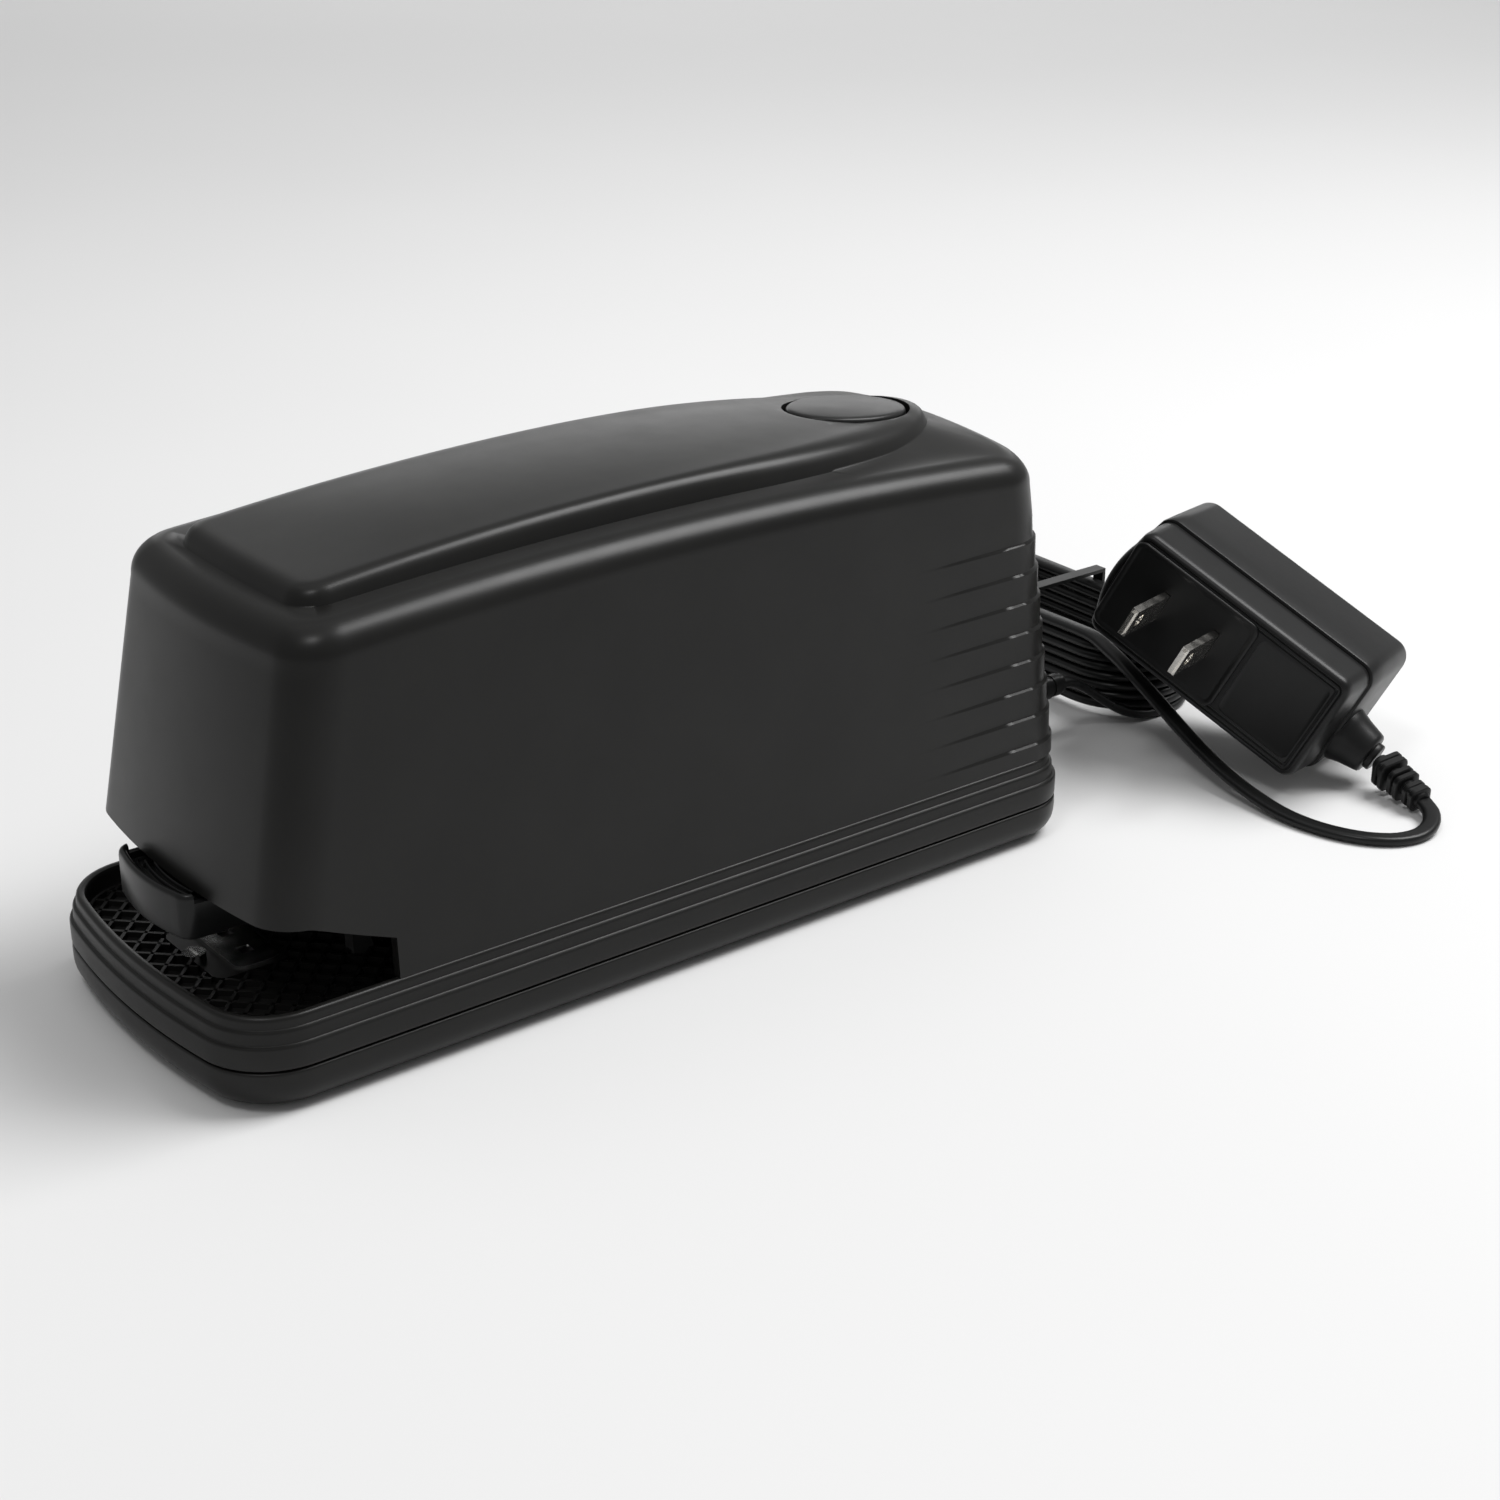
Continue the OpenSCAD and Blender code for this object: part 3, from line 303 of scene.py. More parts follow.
def hank_route():
    """The wound turns, from the middle of the right-hand end up to the top layer's near side."""
    straight = 2 * HANK_HALF_RUN
    fold = math.pi * HANK_R
    turn = 2 * straight + 2 * fold
    total = HANK_TURNS * turn - fold / 2
    points = []
    steps = 40 * HANK_TURNS
    for i in range(steps + 1):
        s = total * i / steps
        layer = s / turn
        along = s % turn
        wobble = 0.35 * math.sin(2.1 * layer + 1.0) * math.sin(math.pi * (layer % 1.0))
        r = HANK_R + wobble
        if along < fold / 2:
            a = along / HANK_R
            x, y = HANK_HALF_RUN + r * math.cos(a), r * math.sin(a)
        elif along < fold / 2 + straight:
            x, y = HANK_HALF_RUN - (along - fold / 2), r
        elif along < 1.5 * fold + straight:
            a = math.pi / 2 + (along - fold / 2 - straight) / HANK_R
            x, y = -HANK_HALF_RUN + r * math.cos(a), r * math.sin(a)
        elif along < 1.5 * fold + 2 * straight:
            x, y = -HANK_HALF_RUN + (along - 1.5 * fold - straight), -r
        else:
            a = 1.5 * math.pi + (along - 1.5 * fold - 2 * straight) / HANK_R
            x, y = HANK_HALF_RUN + r * math.cos(a), r * math.sin(a)
        points.append((HANK_X + x, HANK_Y + y, 1.1 + HANK_PITCH * layer))
    return points


def resample(points, spacing):
    """Points a fixed distance apart on a smooth curve through the given points."""
    pts = np.array(points, float)
    knots = np.concatenate([[0], np.cumsum(np.linalg.norm(np.diff(pts, axis=0), axis=1))])
    slopes = np.gradient(pts, knots, axis=0)
    count = int(knots[-1] / spacing) + 1
    at = np.linspace(0, knots[-1], count)
    seg = np.clip(np.searchsorted(knots, at, side="right") - 1, 0, len(knots) - 2)
    h = (knots[seg + 1] - knots[seg])[:, None]
    t = (at - knots[seg])[:, None] / h
    return ((2 * t**3 - 3 * t**2 + 1) * pts[seg] + (t**3 - 2 * t**2 + t) * h * slopes[seg]
            + (-2 * t**3 + 3 * t**2) * pts[seg + 1] + (t**3 - t**2) * h * slopes[seg + 1])


def twin_section(steps=16):
    """Cross-section of a flat twin lead: two round cores side by side with a shallow waist."""
    out = []
    for i in range(steps):
        a = 2 * math.pi * i / steps
        waist = 1 - 0.14 * math.exp(-(math.cos(a) / 0.22) ** 2)
        out.append((CORD_W / 2 * math.copysign(abs(math.cos(a)) ** 0.8, math.cos(a)),
                    CORD_T / 2 * math.copysign(abs(math.sin(a)) ** 0.8, math.sin(a)) * waist))
    return out


def make_cord(adapter_pieces):
    """The whole lead, from the plug's relief through the hank to the adapter."""
    route = LEAD_PLUG + hank_route()[:-1] + LEAD_ADAPTER
    path = resample(route, 1.6)
    heading = np.gradient(path, axis=0)
    heading /= np.linalg.norm(heading, axis=1)[:, None]
    side = np.cross(heading, (0, 0, 1))
    side /= np.linalg.norm(side, axis=1)[:, None]
    up = np.cross(side, heading)
    section = twin_section()
    rings = [[p + s * x + u * y for x, y in section] for p, s, u in zip(path, side, up)]
    verts, faces = loft(rings)
    cord = add_mesh("lead", verts, faces, "cord_black", 60.0)
    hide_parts("cord_lead_plug", "cord_hank", "cord_lead_adapter")


# ---------------------------------------------------------------- shared outlines

# Segments along a straight side, by the number of marks that divide it.
SIDE_STEPS = {0: (67,), 2: (8, 1, 58)}


def smooth_step(x):
    """Rises from 0 to 1 with level ends."""
    t = np.clip(x, 0.0, 1.0)
    return t * t * (3 - 2 * t)


def half_outline(w, front, rear, r_front, r_rear, bow, side_marks=()):
    """Right half of a plan outline, front centre to rear centre, as the CAD base and cover are drawn."""
    cx = w - r_front
    cy = front + bow - math.sqrt((bow - r_front) ** 2 - cx * cx)
    turn = math.degrees(math.atan2(cy - front - bow, cx))
    points = arc(0, front + bow, bow, -90, turn, 15)
    points += arc(cx, cy, r_front, turn, 0, 15)[1:]
    stops = [cy, *side_marks, rear - r_rear]
    for start, end, steps in zip(stops[:-1], stops[1:], SIDE_STEPS[len(side_marks)]):
        points += [(w, start + (end - start) * (i + 1) / steps) for i in range(steps)]
    points += arc(w - r_rear, rear - r_rear, r_rear, 0, 90, 15)[1:]
    points += [((w - r_rear) * (1 - (i + 1) / 10), rear) for i in range(10)]
    return np.array(points)


def whole(half):
    """A half outline and its mirror image as one loop of points."""
    left = half[-2:0:-1] * (-1, 1) if half.shape[1] == 2 else half[-2:0:-1] * (-1, 1, 1)
    return np.concatenate([half, left])


def at_height(outline, z):
    """Plan points lifted to one height, or to a height each."""
    return np.column_stack([outline, np.broadcast_to(z, len(outline))])


# ---------------------------------------------------------------- base shells

BASE_W, BASE_L = 36.0, 92.3
BASE_R_FRONT, BASE_R_REAR, BASE_BOW = 13.9, 10.6, 156
BASE_WALL = 2.4
RIM_W = 3.3
PARTING_Z = 8.0
DECK_Z = 13.4
DECK_BACK = -44.0
DRIVER_Y = -71.8
TRIGGER_X, TRIGGER_Y = 14.0, -56.0
SCREW_PLACES = [(25, -62), (-25, -62), (25, 70), (-25, 70)]
FOOT_PLACES = [(24, -76), (-24, -76), (24, 78), (-24, 78)]
SOCKET_R, SOCKET_Z = 4, 12.2


def base_ring(inset, z):
    """The base's outline at one inset and height."""
    half = half_outline(BASE_W - inset, -BASE_L + inset, BASE_L - inset,
                        max(BASE_R_FRONT - inset, 1.0), max(BASE_R_REAR - 0.8 * inset, 1.0), BASE_BOW - inset)
    return at_height(whole(half), z)


def tube(x, y, r, z0, z1, steps=40):
    """An upright round rod as a helper solid."""
    return helper_solid(*loft([[(*p, z) for p in arc(x, y, r, 0, 360, steps + 1)[:-1]] for z in (z0, z1)]))


def block(lo, hi):
    """A box between two corners, as points and faces."""
    corners = [(x, y) for x, y in ((lo[0], lo[1]), (hi[0], lo[1]), (hi[0], hi[1]), (lo[0], hi[1]))]
    return loft([[(*c, z) for c in corners] for z in (lo[2], hi[2])])


def make_base_lower():
    """Lower base shell: rounded foot, soft parting edge, hollow inside, screw wells underneath."""
    outer = [(4.4, 0.8), (3.2, 0.86), (2.2, 1.15), (1.4, 1.7), (0.75, 2.5), (0.3, 3.5), (0.06, 4.6), (0, 5.6),
             (0, 7.2), (0.05, 7.55), (0.2, 7.75), (0.45, 7.85)]
    inner = [(BASE_WALL, 7.85), (BASE_WALL, 2.8)]
    verts, faces = loft([base_ring(i, z) for i, z in outer + inner])
    shell = add_mesh("base_lower_shell", verts, faces, "base_black", 35.0)
    cut(shell, [tube(x, y, 3.2, -1, 3.8) for x, y in SCREW_PLACES]
        + [tube(x, y, 5.5, -1, 1.8) for x, y in FOOT_PLACES], 35.0)
    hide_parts("base_lower")


def inside_deck(x, y, margin):
    """True where a deck point lies inside the rim and clear of the anvil's plain patch."""
    half = half_outline(BASE_W - margin, -BASE_L + margin, BASE_L - margin,
                        BASE_R_FRONT - margin, BASE_R_REAR - 0.8 * margin, BASE_BOW - margin)
    side = half[15:]
    side = side[np.argsort(side[:, 1])]
    edge = np.interp(y, side[:, 1], side[:, 0])
    front = -BASE_L + margin + BASE_BOW - math.sqrt(max(BASE_BOW ** 2 - x * x, 0))
    patch = abs(x) < 10.4 and abs(y - DRIVER_Y + 1.6) < 7.2
    cornered = half[:29]
    near = np.interp(abs(x), cornered[:, 0], cornered[:, 1])
    return abs(x) < edge and y > max(front, near) and y < -50.5 and not patch


def deck_ribs():
    """Diamond ribs: trapezoid bars laid both ways at 45 degrees, ended at the rim and at the anvil patch."""
    pitch, low_w, top_w, foot, top = 3.6, 0.9, 0.62, DECK_Z - 0.9, DECK_Z + 0.05
    root = math.sqrt(0.5)
    parts = []
    for sign in (1, -1):
        across, along = np.array((root, sign * root)), np.array((-sign * root, root))
        for k in range(-14, 15):
            offset = (k + 0.5) * pitch
            run = []
            for t in np.arange(-60, 60, 0.25):
                x, y = across * offset + along * t + (0, DRIVER_Y)
                if inside_deck(x, y, 3.8):
                    run.append(t)
                elif run:
                    parts.append(rib_bar(across, along, offset, run[0], run[-1], low_w, top_w, foot, top))
                    run = []
    return join_parts([p for p in parts if p])


def rib_bar(across, along, offset, start, end, low_w, top_w, foot, top):
    """One rib between two places along its line, or nothing where it would be a mere stub."""
    if end - start < 1.5:
        return None
    section = ((-1, low_w, foot), (1, low_w, foot), (1, top_w, top), (-1, top_w, top))
    rings = []
    for t in (start, end):
        centre = across * offset + along * t + (0, DRIVER_Y)
        rings.append([(*(centre + across * s * w / 2), z) for s, w, z in section])
    return loft(rings)


def make_base_upper():
    """Upper base shell: two ledges round its side, a rounded rim, the sunk deck and the raised rear floor."""
    inner = [(BASE_WALL, DECK_Z - 3.2), (BASE_WALL, PARTING_Z + 0.15)]
    outer = [(0.45, 8.15), (0.2, 8.25), (0.05, 8.45), (0, 8.8), (0, 12.0), (0.06, 12.3), (0.2, 12.47),
             (0.5, 12.52), (0.64, 12.62), (0.68, 12.9), (0.74, 14.5), (0.8, 14.8), (0.94, 14.97),
             (1.22, 15.02), (1.36, 15.12), (1.4, 15.4), (1.46, 16.3), (1.56, 16.7), (1.8, 17.0),
             (2.15, 17.12), (2.6, 17.1), (3.0, 16.95), (3.2, 16.6), (3.28, 16.1), (RIM_W, DECK_Z + 0.5),
             (3.4, DECK_Z + 0.15), (3.6, DECK_Z)]
    floor = [(3.9, DECK_Z), (3.95, DECK_Z - 0.9)]
    verts, faces = loft([base_ring(i, z) for i, z in inner + outer + floor])
    shell = add_mesh("base_upper_shell", verts, faces, "base_black", 35.0)
    slot = block((TRIGGER_X - 1.8, TRIGGER_Y - 3, 5), (TRIGGER_X + 1.8, TRIGGER_Y + 9, 19))
    round_hole = arc(0, 0, SOCKET_R, 0, 360, 41)[:-1]
    socket = loft([[(x, y, z + SOCKET_Z) for x, z in round_hole] for y in (80.0, 94.0)])
    cut(shell, [helper_solid(*slot), tube(0, DRIVER_Y - 7.6, 1.1, 9, 15, 24), helper_solid(*socket)], 35.0)
    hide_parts("base_upper")
    half = half_outline(BASE_W - RIM_W, -BASE_L + RIM_W, BASE_L - RIM_W, 10.6, 8.0, 152.7)
    rear = half[half[:, 1] > DECK_BACK]
    corner = rear[0][0]
    loop = np.concatenate([[(corner, DECK_BACK)], rear, rear[-2::-1] * (-1, 1), [(-corner, DECK_BACK)]])
    ring = [at_height(loop, z) for z in (DECK_Z - 1.5, 17.0)]
    patch = rounded_loop(20.8, 14.0, 2.4, (0, DRIVER_Y - 1.6), 6)
    plate = [at_height(np.array(patch), z) for z in (DECK_Z - 1.2, DECK_Z - 0.05, DECK_Z + 0.05)]
    verts, faces = join_parts([deck_ribs(), loft(ring), loft(plate)])
    add_mesh("base_deck", verts, faces, "base_black", 30.0)


def rounded_loop(w, l, r, centre, steps):
    """A rounded rectangle as a loop of plan points."""
    out = []
    for sx, sy, start in ((1, -1, -90), (1, 1, 0), (-1, 1, 90), (-1, -1, 180)):
        out += arc(centre[0] + sx * (w / 2 - r), centre[1] + sy * (l / 2 - r), r, start, start + 90, steps)
    return out


make_base_lower()
make_base_upper()


# ---------------------------------------------------------------- cover

COVER_Z = 17.0
WALL_TOP = 75.5
FINS_TOP = 68.0
COVER_T = 2.0
COVER_SMOOTH = 66.0
NOTCH_Y = -59.4
SHELF_Z, PANEL_Z = 81.0, 85.4
EDGE_R = 5.5
PANEL_W, PANEL_FRONT, PANEL_TURN, PANEL_REAR = 22.0, -66.5, 24.0, 79.2
BUTTON_Y = 62.0
BUTTON_W, BUTTON_L, BUTTON_GAP = 18.2, 25.4, 1.5
FIN_STEP, FIN_LOW, FIN_HIGH = 5.83, -0.24, 0.30
FIN_LINES = [61.4 - FIN_STEP * k for k in range(8)]


def shelf_at(y):
    """Height of the shelf round the panel, which falls away to both ends."""
    return SHELF_Z - y * y / 1800


def panel_at(y):
    """Height of the raised panel along the top."""
    return PANEL_Z - (y - 6) ** 2 / 1300


def cover_plan(z, inset):
    """Half outline of the drafted wall at one height and inset."""
    rise = z - COVER_Z
    return half_outline(34.2 - 0.045 * rise - inset, -85.7 + 0.2 * rise + inset, 92 - 0.12 * rise - inset,
                        9 - 0.75 * inset, 9.5 - 0.75 * inset, 170, (NOTCH_Y - 0.015, NOTCH_Y + 0.015))


def panel_plan(inset):
    """Half outline of the raised panel at one inset of its riser, which widens towards the rear."""
    w, r, front, rear = PANEL_W, 6.0, PANEL_FRONT, PANEL_REAR
    points = [((w - r) * i / 14, front + 0.4 * ((i / 14) ** 2 - 1)) for i in range(15)]
    points += arc(w - r, front + r, r, -90, 0, 15)[1:]
    for start, end, steps in ((front + r, NOTCH_Y + 0.5, 8), (NOTCH_Y + 0.5, NOTCH_Y + 1.5, 1),
                              (NOTCH_Y + 1.5, PANEL_TURN, 36)):
        points += [(w, start + (end - start) * (i + 1) / steps) for i in range(steps)]
    points += [(w * math.cos(a), PANEL_TURN + (rear - PANEL_TURN) * math.sin(a))
               for a in np.linspace(0, math.pi / 2, 47)[1:]]
    half = np.array(points)
    tangent = np.gradient(half, axis=0)
    tangent[0], tangent[-1] = (1, 0), (-1, 0)
    normal = np.column_stack([-tangent[:, 1], tangent[:, 0]])
    normal /= np.linalg.norm(normal, axis=1)[:, None]
    spread = 1 + 0.9 * smooth_step((half[:, 1] - 5) / 60)
    spread *= 1 - 0.45 * smooth_step((half[:, 1] - 72) / 8)
    half = half + normal * (inset * spread)[:, None]
    half[0, 0] = half[-1, 0] = 0
    return half


def rear_crown(plan):
    """Extra height of the top behind the button, which is arched across and dies out forwards."""
    return 2.2 * smooth_step((plan[:, 1] - 56) / 24) * np.clip(1 - (plan[:, 0] / 27) ** 2, 0, 1)


def throat_edge(y):
    """Height of the cover's lower edge at a place along its side."""
    slope = 24.5 + (NOTCH_Y - y) * 6 / 17.6
    return np.where(y < NOTCH_Y, np.minimum(slope, 30.5), COVER_Z)


def fin_offset(y, z):
    """How far the stepped finger fins stand out of the drafted wall."""
    below = np.array([line for line in FIN_LINES if line >= z])
    if len(below) == 0:
        value = FIN_LOW * (1 - smooth_step((z - FIN_LINES[0]) / 5))
    else:
        value = FIN_HIGH + (FIN_LOW - FIN_HIGH) * (below.min() - z) / FIN_STEP
    return value * smooth_step((y - 52) / 24)


def wall_heights():
    """Row heights of the wall, with a close pair of rows at each fin's ledge."""
    rows = [COVER_Z]
    for line in FIN_LINES[::-1]:
        rows += [line - 0.32, line - 0.13, line + 0.13, line + 0.32, line + 2.2, line + 4.0]
    return sorted(set(rows + [66.5, FINS_TOP]))


def cover_rings(t):
    """Rings of the cover's skin from its lower edge to the panel, t in from the outside."""
    low, high = cover_plan(COVER_Z, t), cover_plan(WALL_TOP, t)
    tangent = np.gradient(low, axis=0)
    tangent[0], tangent[-1] = (1, 0), (-1, 0)
    normal = np.column_stack([tangent[:, 1], -tangent[:, 0]])
    normal /= np.linalg.norm(normal, axis=1)[:, None]
    edge = throat_edge(low[:, 1])
    rings = []
    for z_row in wall_heights():
        z = edge + (z_row - COVER_Z) * (FINS_TOP - edge) / (FINS_TOP - COVER_Z)
        f = ((z - COVER_Z) / (WALL_TOP - COVER_Z))[:, None]
        plan = low + (high - low) * f
        if t == 0:
            plan = plan + normal * np.array([fin_offset(y, z_row) for y in plan[:, 1]])[:, None]
            plan[0, 0] = plan[-1, 0] = 0
        rings.append(whole(np.column_stack([plan, z])))
    foot = shelf_at(high[:, 1]) - t - EDGE_R
    z = FINS_TOP + (foot - FINS_TOP) * 0.5
    f = ((z - COVER_Z) / (WALL_TOP - COVER_Z))[:, None]
    rings.append(whole(np.column_stack([low + (high - low) * f, z])))
    for a in np.radians(np.linspace(0, 90, 11)):
        inset = EDGE_R * (1 - math.cos(a))
        low_in, high_in = cover_plan(COVER_Z, t + inset), cover_plan(WALL_TOP, t + inset)
        f = ((foot - COVER_Z) / (WALL_TOP - COVER_Z))[:, None]
        plan = low_in + (high_in - low_in) * f
        z = shelf_at(plan[:, 1]) - t - EDGE_R * (1 - math.sin(a)) + rear_crown(plan) * math.sin(a) ** 2
        rings.append(whole(np.column_stack([plan, z])))
    riser = ((0, 0), (0.12, 0.10), (0.45, 0.42), (0.9, 0.66), (1.4, 0.82), (2.0, 0.92), (2.7, 0.975),
             (3.5, 0.995), (4.3, 1.0))
    for inset, share in riser:
        plan = panel_plan(inset + t * 0.6)
        y, crown = plan[:, 1], rear_crown(plan)
        z = (shelf_at(y) + crown) * (1 - share) + (panel_at(y) + 0.35 * crown) * share - t
        rings.append(whole(np.column_stack([plan, z])))
    return rings


def cap_across(ring, start):
    """Closes the panel inside its last ring, whose first index is start, with slightly crowned strips."""
    count = len(ring)
    half = count // 2
    lanes = 10
    verts, faces = [], []
    rows = []
    for i in range(1, half):
        right, left = ring[i], ring[count - i]
        row = [start + i]
        for k in range(1, lanes):
            p = right + (left - right) * k / lanes
            width = abs(right[0])
            crown = 0.5 * min(1, width / 12) * float(smooth_step((p[1] - ring[0][1]) / 30))
            p = np.array((p[0], p[1], p[2] + crown * (1 - (p[0] / max(width, 0.1)) ** 2)))
            row.append(start + count + len(verts))
            verts.append(p)
        row.append(start + count - i)
        rows.append(row)
    for a, b in zip(rows[:-1], rows[1:]):
        faces += [(a[k], a[k + 1], b[k + 1], b[k]) for k in range(lanes)]
    faces.append((start, *rows[0]))
    faces.append((start + half, *rows[-1]))
    return verts, faces


def make_cover():
    """Cover shell: outer and inner skins joined at the lower edge, with the button's hole cut through."""
    outer, inner = cover_rings(0.0), cover_rings(COVER_T)
    rings = inner[::-1] + outer
    count = len(rings[0])
    verts, faces = loft(rings, capped=False)
    verts = [np.asarray(v) for v in verts]
    for ring, start in ((outer[-1], (len(rings) - 1) * count), (inner[-1], 0)):
        new_verts, new_faces = cap_across(ring, start)
        shift = len(verts) - (start + count)
        verts += new_verts
        faces += [tuple(i if start <= i < start + count else i + shift for i in face) for face in new_faces]
    shell = add_mesh("cover_shell", verts, faces, "cover_black", COVER_SMOOTH)
    half_w, half_l = 0.5 * (BUTTON_W + BUTTON_GAP), 0.5 * (BUTTON_L + BUTTON_GAP)
    turn = np.linspace(0, 2 * math.pi, 97)[:-1]
    hole = [[(half_w * math.cos(a), BUTTON_Y + half_l * math.sin(a), z) for a in turn] for z in (60, 100)]
    cut(shell, [helper_solid(*loft(hole))], COVER_SMOOTH)
    soften_hole(shell)
    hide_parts("cover")


def soften_hole(shell):
    """A small rounding on the upper edge of the button's hole."""
    bm = bmesh.new()
    bm.from_mesh(shell.data)
    edges = []
    for edge in bm.edges:
        if all(abs((v.co.x / MM / (BUTTON_W + BUTTON_GAP) * 2) ** 2
                   + ((v.co.y / MM - BUTTON_Y) / (BUTTON_L + BUTTON_GAP) * 2) ** 2 - 1) < 0.004
               and v.co.z / MM > panel_at(v.co.y / MM) - 0.3 for v in edge.verts):
            if edge.calc_face_angle(0.0) > 0.8:
                edges.append(edge)
    bmesh.ops.bevel(bm, geom=edges, offset=0.35 * MM, segments=3, profile=0.5, affect="EDGES",
                    clamp_overlap=True)
    for face in bm.faces:
        face.smooth = True
    bm.to_mesh(shell.data)
    bm.free()
    finish_mesh(shell, COVER_SMOOTH)


def make_button():
    """Oval button: straight skirt, rounded rim and a shallow dome that follows the panel's fall."""
    profile = [(0, -6.0), (0, -0.5), (0.03, -0.1), (0.12, 0.2), (0.32, 0.44), (0.62, 0.58), (1.1, 0.66),
               (1.9, 0.72), (3.2, 0.80), (4.8, 0.88), (6.6, 0.94), (8.2, 0.96)]
    turn = np.linspace(0, 2 * math.pi, 97)[:-1]
    rings = []
    for inset, lift in profile:
        x = (BUTTON_W / 2 - inset) * np.cos(turn)
        y = BUTTON_Y + (BUTTON_L / 2 - inset) * np.sin(turn)
        rings.append(np.column_stack([x, y, panel_at(y) + lift]))
    stem = [[(*p, z) for p in arc(0, BUTTON_Y, 2.5, 0, 360, 33)[:-1]] for z in (62.0, 78.5)]
    verts, faces = join_parts([loft(rings), loft(stem)])
    button = add_mesh("button_cap", verts, faces, "button_black", 40.0, body="button")
    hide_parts("release_button")


make_cover()
make_button()


# ---------------------------------------------------------------- magazine nose

NOSE_Z = 23.3


def nose_loop(inset):
    """Plan of the nose at one inset: bowed front, rounded corners, straight back."""
    w, front = 12.6 - inset, -87.7 + inset
    r = max(3 - inset, 0.5)
    reach = 40 - inset
    half_turn = math.degrees(math.asin((w - r) / reach))
    low = front + reach - math.sqrt(reach ** 2 - (w - r) ** 2)
    points = arc(0, front + reach, reach, -90 - half_turn, -90 + half_turn, 29)[1:-1]
    points += arc(w - r, low + r, r, -90 + half_turn, 0, 9)
    back = -75.2 - inset
    points += [(w, back - 3), (w, back), (-w, back), (-w, back - 3)]
    return np.array(points + arc(-w + r, low + r, r, -180, -90 - half_turn, 9))


def make_nose():
    """Finger band at the front of the magazine: soft edges, a raised lip and a ribbed ledge behind it."""
    profile = [(0.5, 0), (0.15, 0.06), (0, 0.35), (0, 7.0), (0.08, 7.5), (0.3, 7.86), (0.62, 8.0),
               (1.0, 7.93), (1.24, 7.6), (1.3, 7.1), (1.3, 5.2)]
    rib = ((0, 5.2), (0.08, 5.7), (0.3, 5.84), (0.52, 5.7), (0.6, 5.2))
    for k in range(3):
        profile += [(2.4 + 1.3 * k + inset, z) for inset, z in rib]
    rings = [at_height(nose_loop(i), NOSE_Z + z) for i, z in profile]
    nose = add_mesh("nose_band", *loft(rings), "nose_black", 50.0, body="magazine")
    behind = block((-20, -84.2, NOSE_Z + 6.4), (20, -70, NOSE_Z + 12))
    cut(nose, [helper_solid(*behind)], 50.0)
    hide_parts("magazine_nose")


# ---------------------------------------------------------------- mains adapter

ADAPTER_AT = np.array((34.7, 130.4, 27.7))
ADAPTER_TURN = (84.0, 26.5, 17.0)
CASE_L, CASE_H = 56.0, 27.0
BLADE_GAP = 6.35
PANEL_TILE = (31, 21, 2.2, (-10, 0))


def turned():
    """The adapter's own axes as a matrix: turned about X, then Y, then Z."""
    x, y, z = np.radians(ADAPTER_TURN)
    about_x = np.array(((1, 0, 0), (0, math.cos(x), -math.sin(x)), (0, math.sin(x), math.cos(x))))
    about_y = np.array(((math.cos(y), 0, math.sin(y)), (0, 1, 0), (-math.sin(y), 0, math.cos(y))))
    about_z = np.array(((math.cos(z), -math.sin(z), 0), (math.sin(z), math.cos(z), 0), (0, 0, 1)))
    return about_z @ about_y @ about_x


TURNED = turned()


def on_adapter(part):
    """A part drawn in the adapter's own axes, moved to where the adapter lies."""
    verts, faces = part
    return [TURNED @ np.asarray(v) + ADAPTER_AT for v in verts], faces


def case_ring(inset, z):
    """The case's outline at one inset: straight sides, round corners and one bowed end."""
    l, h, r = CASE_L / 2 - inset, CASE_H / 2 - inset, max(4 - inset, 0.6)
    bow_r = (h * h + 12.25) / 7.0
    turn = math.degrees(math.asin((h - r) / bow_r)) * 0.86
    points = arc(l - r, -h + r, r, -90, 0, 11) + arc(l - r, h - r, r, 0, 90, 11)
    points += arc(-l + r + 1, h - r, r, 90, 150, 9)
    points += arc(-l + bow_r - 0.6, 0, bow_r, 180 - turn, 180 + turn, 15)
    points += arc(-l + r + 1, -h + r, r, 210, 270, 9)
    return at_height(np.array(points), z)


def plate(w, l, r, centre, levels):
    """A rounded rectangle stack, one (inset, height) a level."""
    return loft([at_height(np.array(rounded_loop(w - 2 * i, l - 2 * i, max(r - i, 0.3), centre, 8)), z)
                 for i, z in levels])


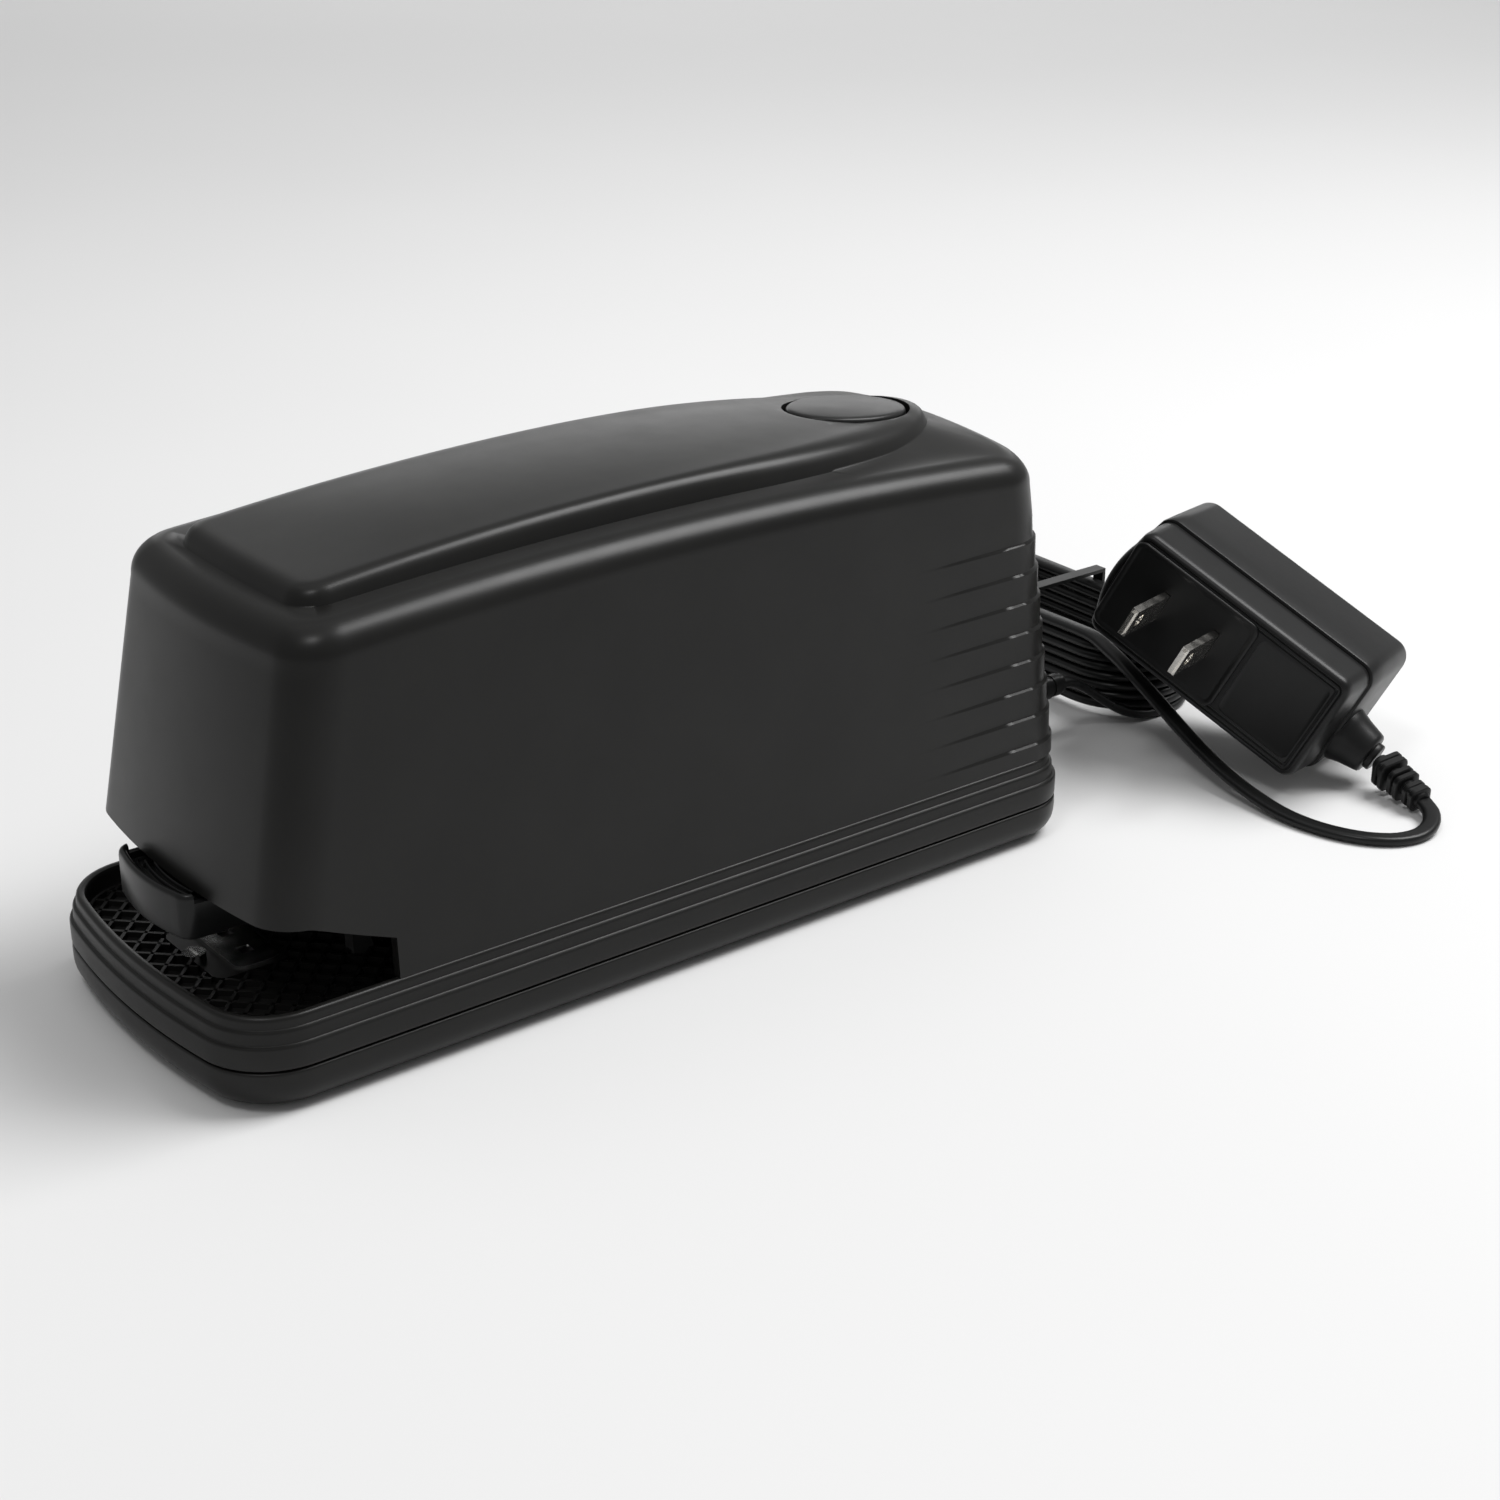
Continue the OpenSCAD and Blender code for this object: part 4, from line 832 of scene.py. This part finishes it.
def make_adapter():
    """Two case halves: a drafted front with a double line round its face, and a plain deeper back."""
    front = [(2.0, -1.5), (2.0, -11), (0.75, -11), (0.62, -10.7), (0.66, -9.0), (0.95, -2.6), (1.05, -1.5),
             (1.25, -0.75), (1.6, -0.3), (2.0, -0.12), (2.3, -0.1), (2.42, -0.32), (2.62, -0.36),
             (2.78, -0.08), (3.1, 0.0), (3.3, -0.08), (3.44, -0.34), (3.64, -0.36), (3.8, -0.12), (4.2, -0.1)]
    verts, faces = on_adapter(loft([case_ring(i, z) for i, z in front]))
    face = add_mesh("adapter_front_case", verts, faces, "adapter_black", 38.0)
    recess = plate(17.4, 18.4, 1.6, (15.2, 0), [(0.3, -0.55), (0, -0.4), (0, 1.0)])
    cut(face, [helper_solid(*on_adapter(recess))], 38.0)
    panel = plate(*PANEL_TILE, [(0, -0.6), (0, 0.22), (0.12, 0.42), (0.4, 0.52), (0.9, 0.5), (1.2, 0.34),
                                (1.5, 0.34)])
    slots = [block((-8.2 + s * BLADE_GAP - 0.8, 1.2 - 3.25, -3), (-8.2 + s * BLADE_GAP + 0.8, 1.2 + 3.25, 3))
             for s in (-1, 1)]
    plate_piece = add_mesh("adapter_prong_plate", *on_adapter(panel), "adapter_black", 45.0)
    cut(plate_piece, [helper_solid(*on_adapter(s)) for s in slots], 45.0)
    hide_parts("adapter_front")
    back = [(2.0, -31.0), (2.0, -11.2), (0.45, -11.2), (0.12, -11.32), (0.0, -11.65), (0.0, -18.0),
            (0.15, -31.2), (0.35, -32.1), (0.8, -32.7), (1.5, -32.95), (2.4, -33.0)]
    verts, faces = on_adapter(loft([case_ring(i, z) for i, z in back]))
    shell = add_mesh("adapter_back_case", verts, faces, "adapter_black", 38.0)
    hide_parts("adapter_back")
    return [face, plate_piece, shell]


def lathe(profile, steps=48):
    """A round piece about its own Z axis, one (radius, height) a level."""
    return loft([[(r * math.cos(a), r * math.sin(a), z) for a in np.linspace(0, 2 * math.pi, steps + 1)[:-1]]
                 for r, z in profile])


def along(part, start, direction):
    """A part drawn along Z, laid along a direction from a start point."""
    verts, faces = part
    matrix = np.array(Vector((0, 0, 1)).rotation_difference(Vector(direction)).to_matrix())
    return [matrix @ np.asarray(v) + np.asarray(start) for v in verts], faces


def make_boot():
    """Collar where the lead leaves the case: a flared cone, a small ring and a short neck."""
    profile = [(2.0, -3), (2.0, -0.3), (6.2, -0.3), (6.1, 0.6), (5.8, 1.4), (5.35, 2.8), (4.95, 4.6),
               (4.65, 6.0), (4.45, 6.7), (4.1, 7.0), (3.3, 7.05), (3.0, 7.15), (3.0, 8.1), (2.8, 8.35),
               (2.4, 8.4)]
    start = TURNED @ np.array((CASE_L / 2, -4, -17)) + ADAPTER_AT
    verts, faces = along(lathe(profile), start, TURNED[:, 0])
    boot = add_mesh("adapter_collar", verts, faces, "adapter_black", 45.0)
    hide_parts("adapter_boot")
    return boot


def make_relief():
    """Bend relief: a round core carrying three square links, each with a slit across it."""
    start, end = np.array((59.6, 154.6, 6.0)), np.array((73.4, 152.0, 2.8))
    run = end - start
    length = float(np.linalg.norm(run))
    parts = [lathe([(1.5, 0), (1.9, 0.2), (1.9, length - 0.3), (1.6, length)], 32)]
    for k in range(3):
        size, low = 6.6 - 0.8 * k, length * (0.12 + 0.3 * k)
        for base, height in ((low, 1.35), (low + 1.85, 1.35)):
            top = base + height
            levels = [(0.25, base), (0, base + 0.2), (0, top - 0.2), (0.25, top)]
            parts.append(plate(size, size, 1.4, (0, 0), levels))
        side = 1 if k % 2 else -1
        bridge = [(0, low + 0.9), (0, low + 2.4)]
        parts.append(plate(size * 0.55, size - 0.6, 0.8, (side * size * 0.18, 0), bridge))
    verts, faces = along(join_parts(parts), start, run)
    relief = add_mesh("adapter_bend_relief", verts, faces, "cord_black", 40.0)
    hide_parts("adapter_relief")
    return relief


make_nose()
make_cord([*make_adapter(), make_boot(), make_relief()])


# ---------------------------------------------------------------- floor and light

# Name, place, target, size and power of each soft light.
LIGHTS = [
    ("top_light", (-0.25, 0.10, 1.6), (-0.1, 0.05, 0), (1.6, 1.6), 3.0),
    ("edge_light", (0.24, 0.60, 0.94), (0.02, 0.0, 0.07), (0.55, 0.66), 13.0),
    ("back_light", (-1.10, 0.85, 0.30), (0, 0.03, 0.08), (1.3, 0.24), 1.8),
    ("corner_light", (0.25, -0.48, 1.08), (0.02, -0.05, 0.07), (0.24, 0.24), 2.2),
]
WORLD_STRENGTH = 0.34


def area_light(name, place, target, size, power):
    """A white rectangular light aimed at a point."""
    data = bpy.data.lights.new(name, "AREA")
    data.shape = "RECTANGLE"
    data.size, data.size_y = size
    data.energy = power
    light = bpy.data.objects.new(name, data)
    light.location = place
    light.rotation_euler = (Vector(target) - Vector(place)).to_track_quat("-Z", "Y").to_euler()
    bpy.context.collection.objects.link(light)


def make_studio():
    """A plain pale floor, a soft pale surround and four soft lights."""
    bpy.ops.mesh.primitive_plane_add(size=14, location=(0, 0, 0))
    floor = bpy.context.object
    floor.name = "floor"
    n = Nodes("floor_white")
    drift = n.noise(2.0)
    tone = n.ramp(drift.outputs["Fac"], [(0.3, grey(0.68)), (0.7, grey(0.71))])
    n.link(tone.outputs["Color"], n.shader.inputs["Base Color"])
    n.shader.inputs["Roughness"].default_value = 0.8
    n.shader.inputs["Specular IOR Level"].default_value = 0.1
    floor.data.materials.append(n.material)
    world = bpy.data.worlds.new("studio")
    bpy.context.scene.world = world
    world.use_nodes = True
    world.node_tree.nodes["Background"].inputs["Color"].default_value = (1, 1, 1, 1)
    world.node_tree.nodes["Background"].inputs["Strength"].default_value = WORLD_STRENGTH
    bpy.context.scene.view_settings.view_transform = "Standard"
    for light in LIGHTS:
        area_light(*light)


make_studio()
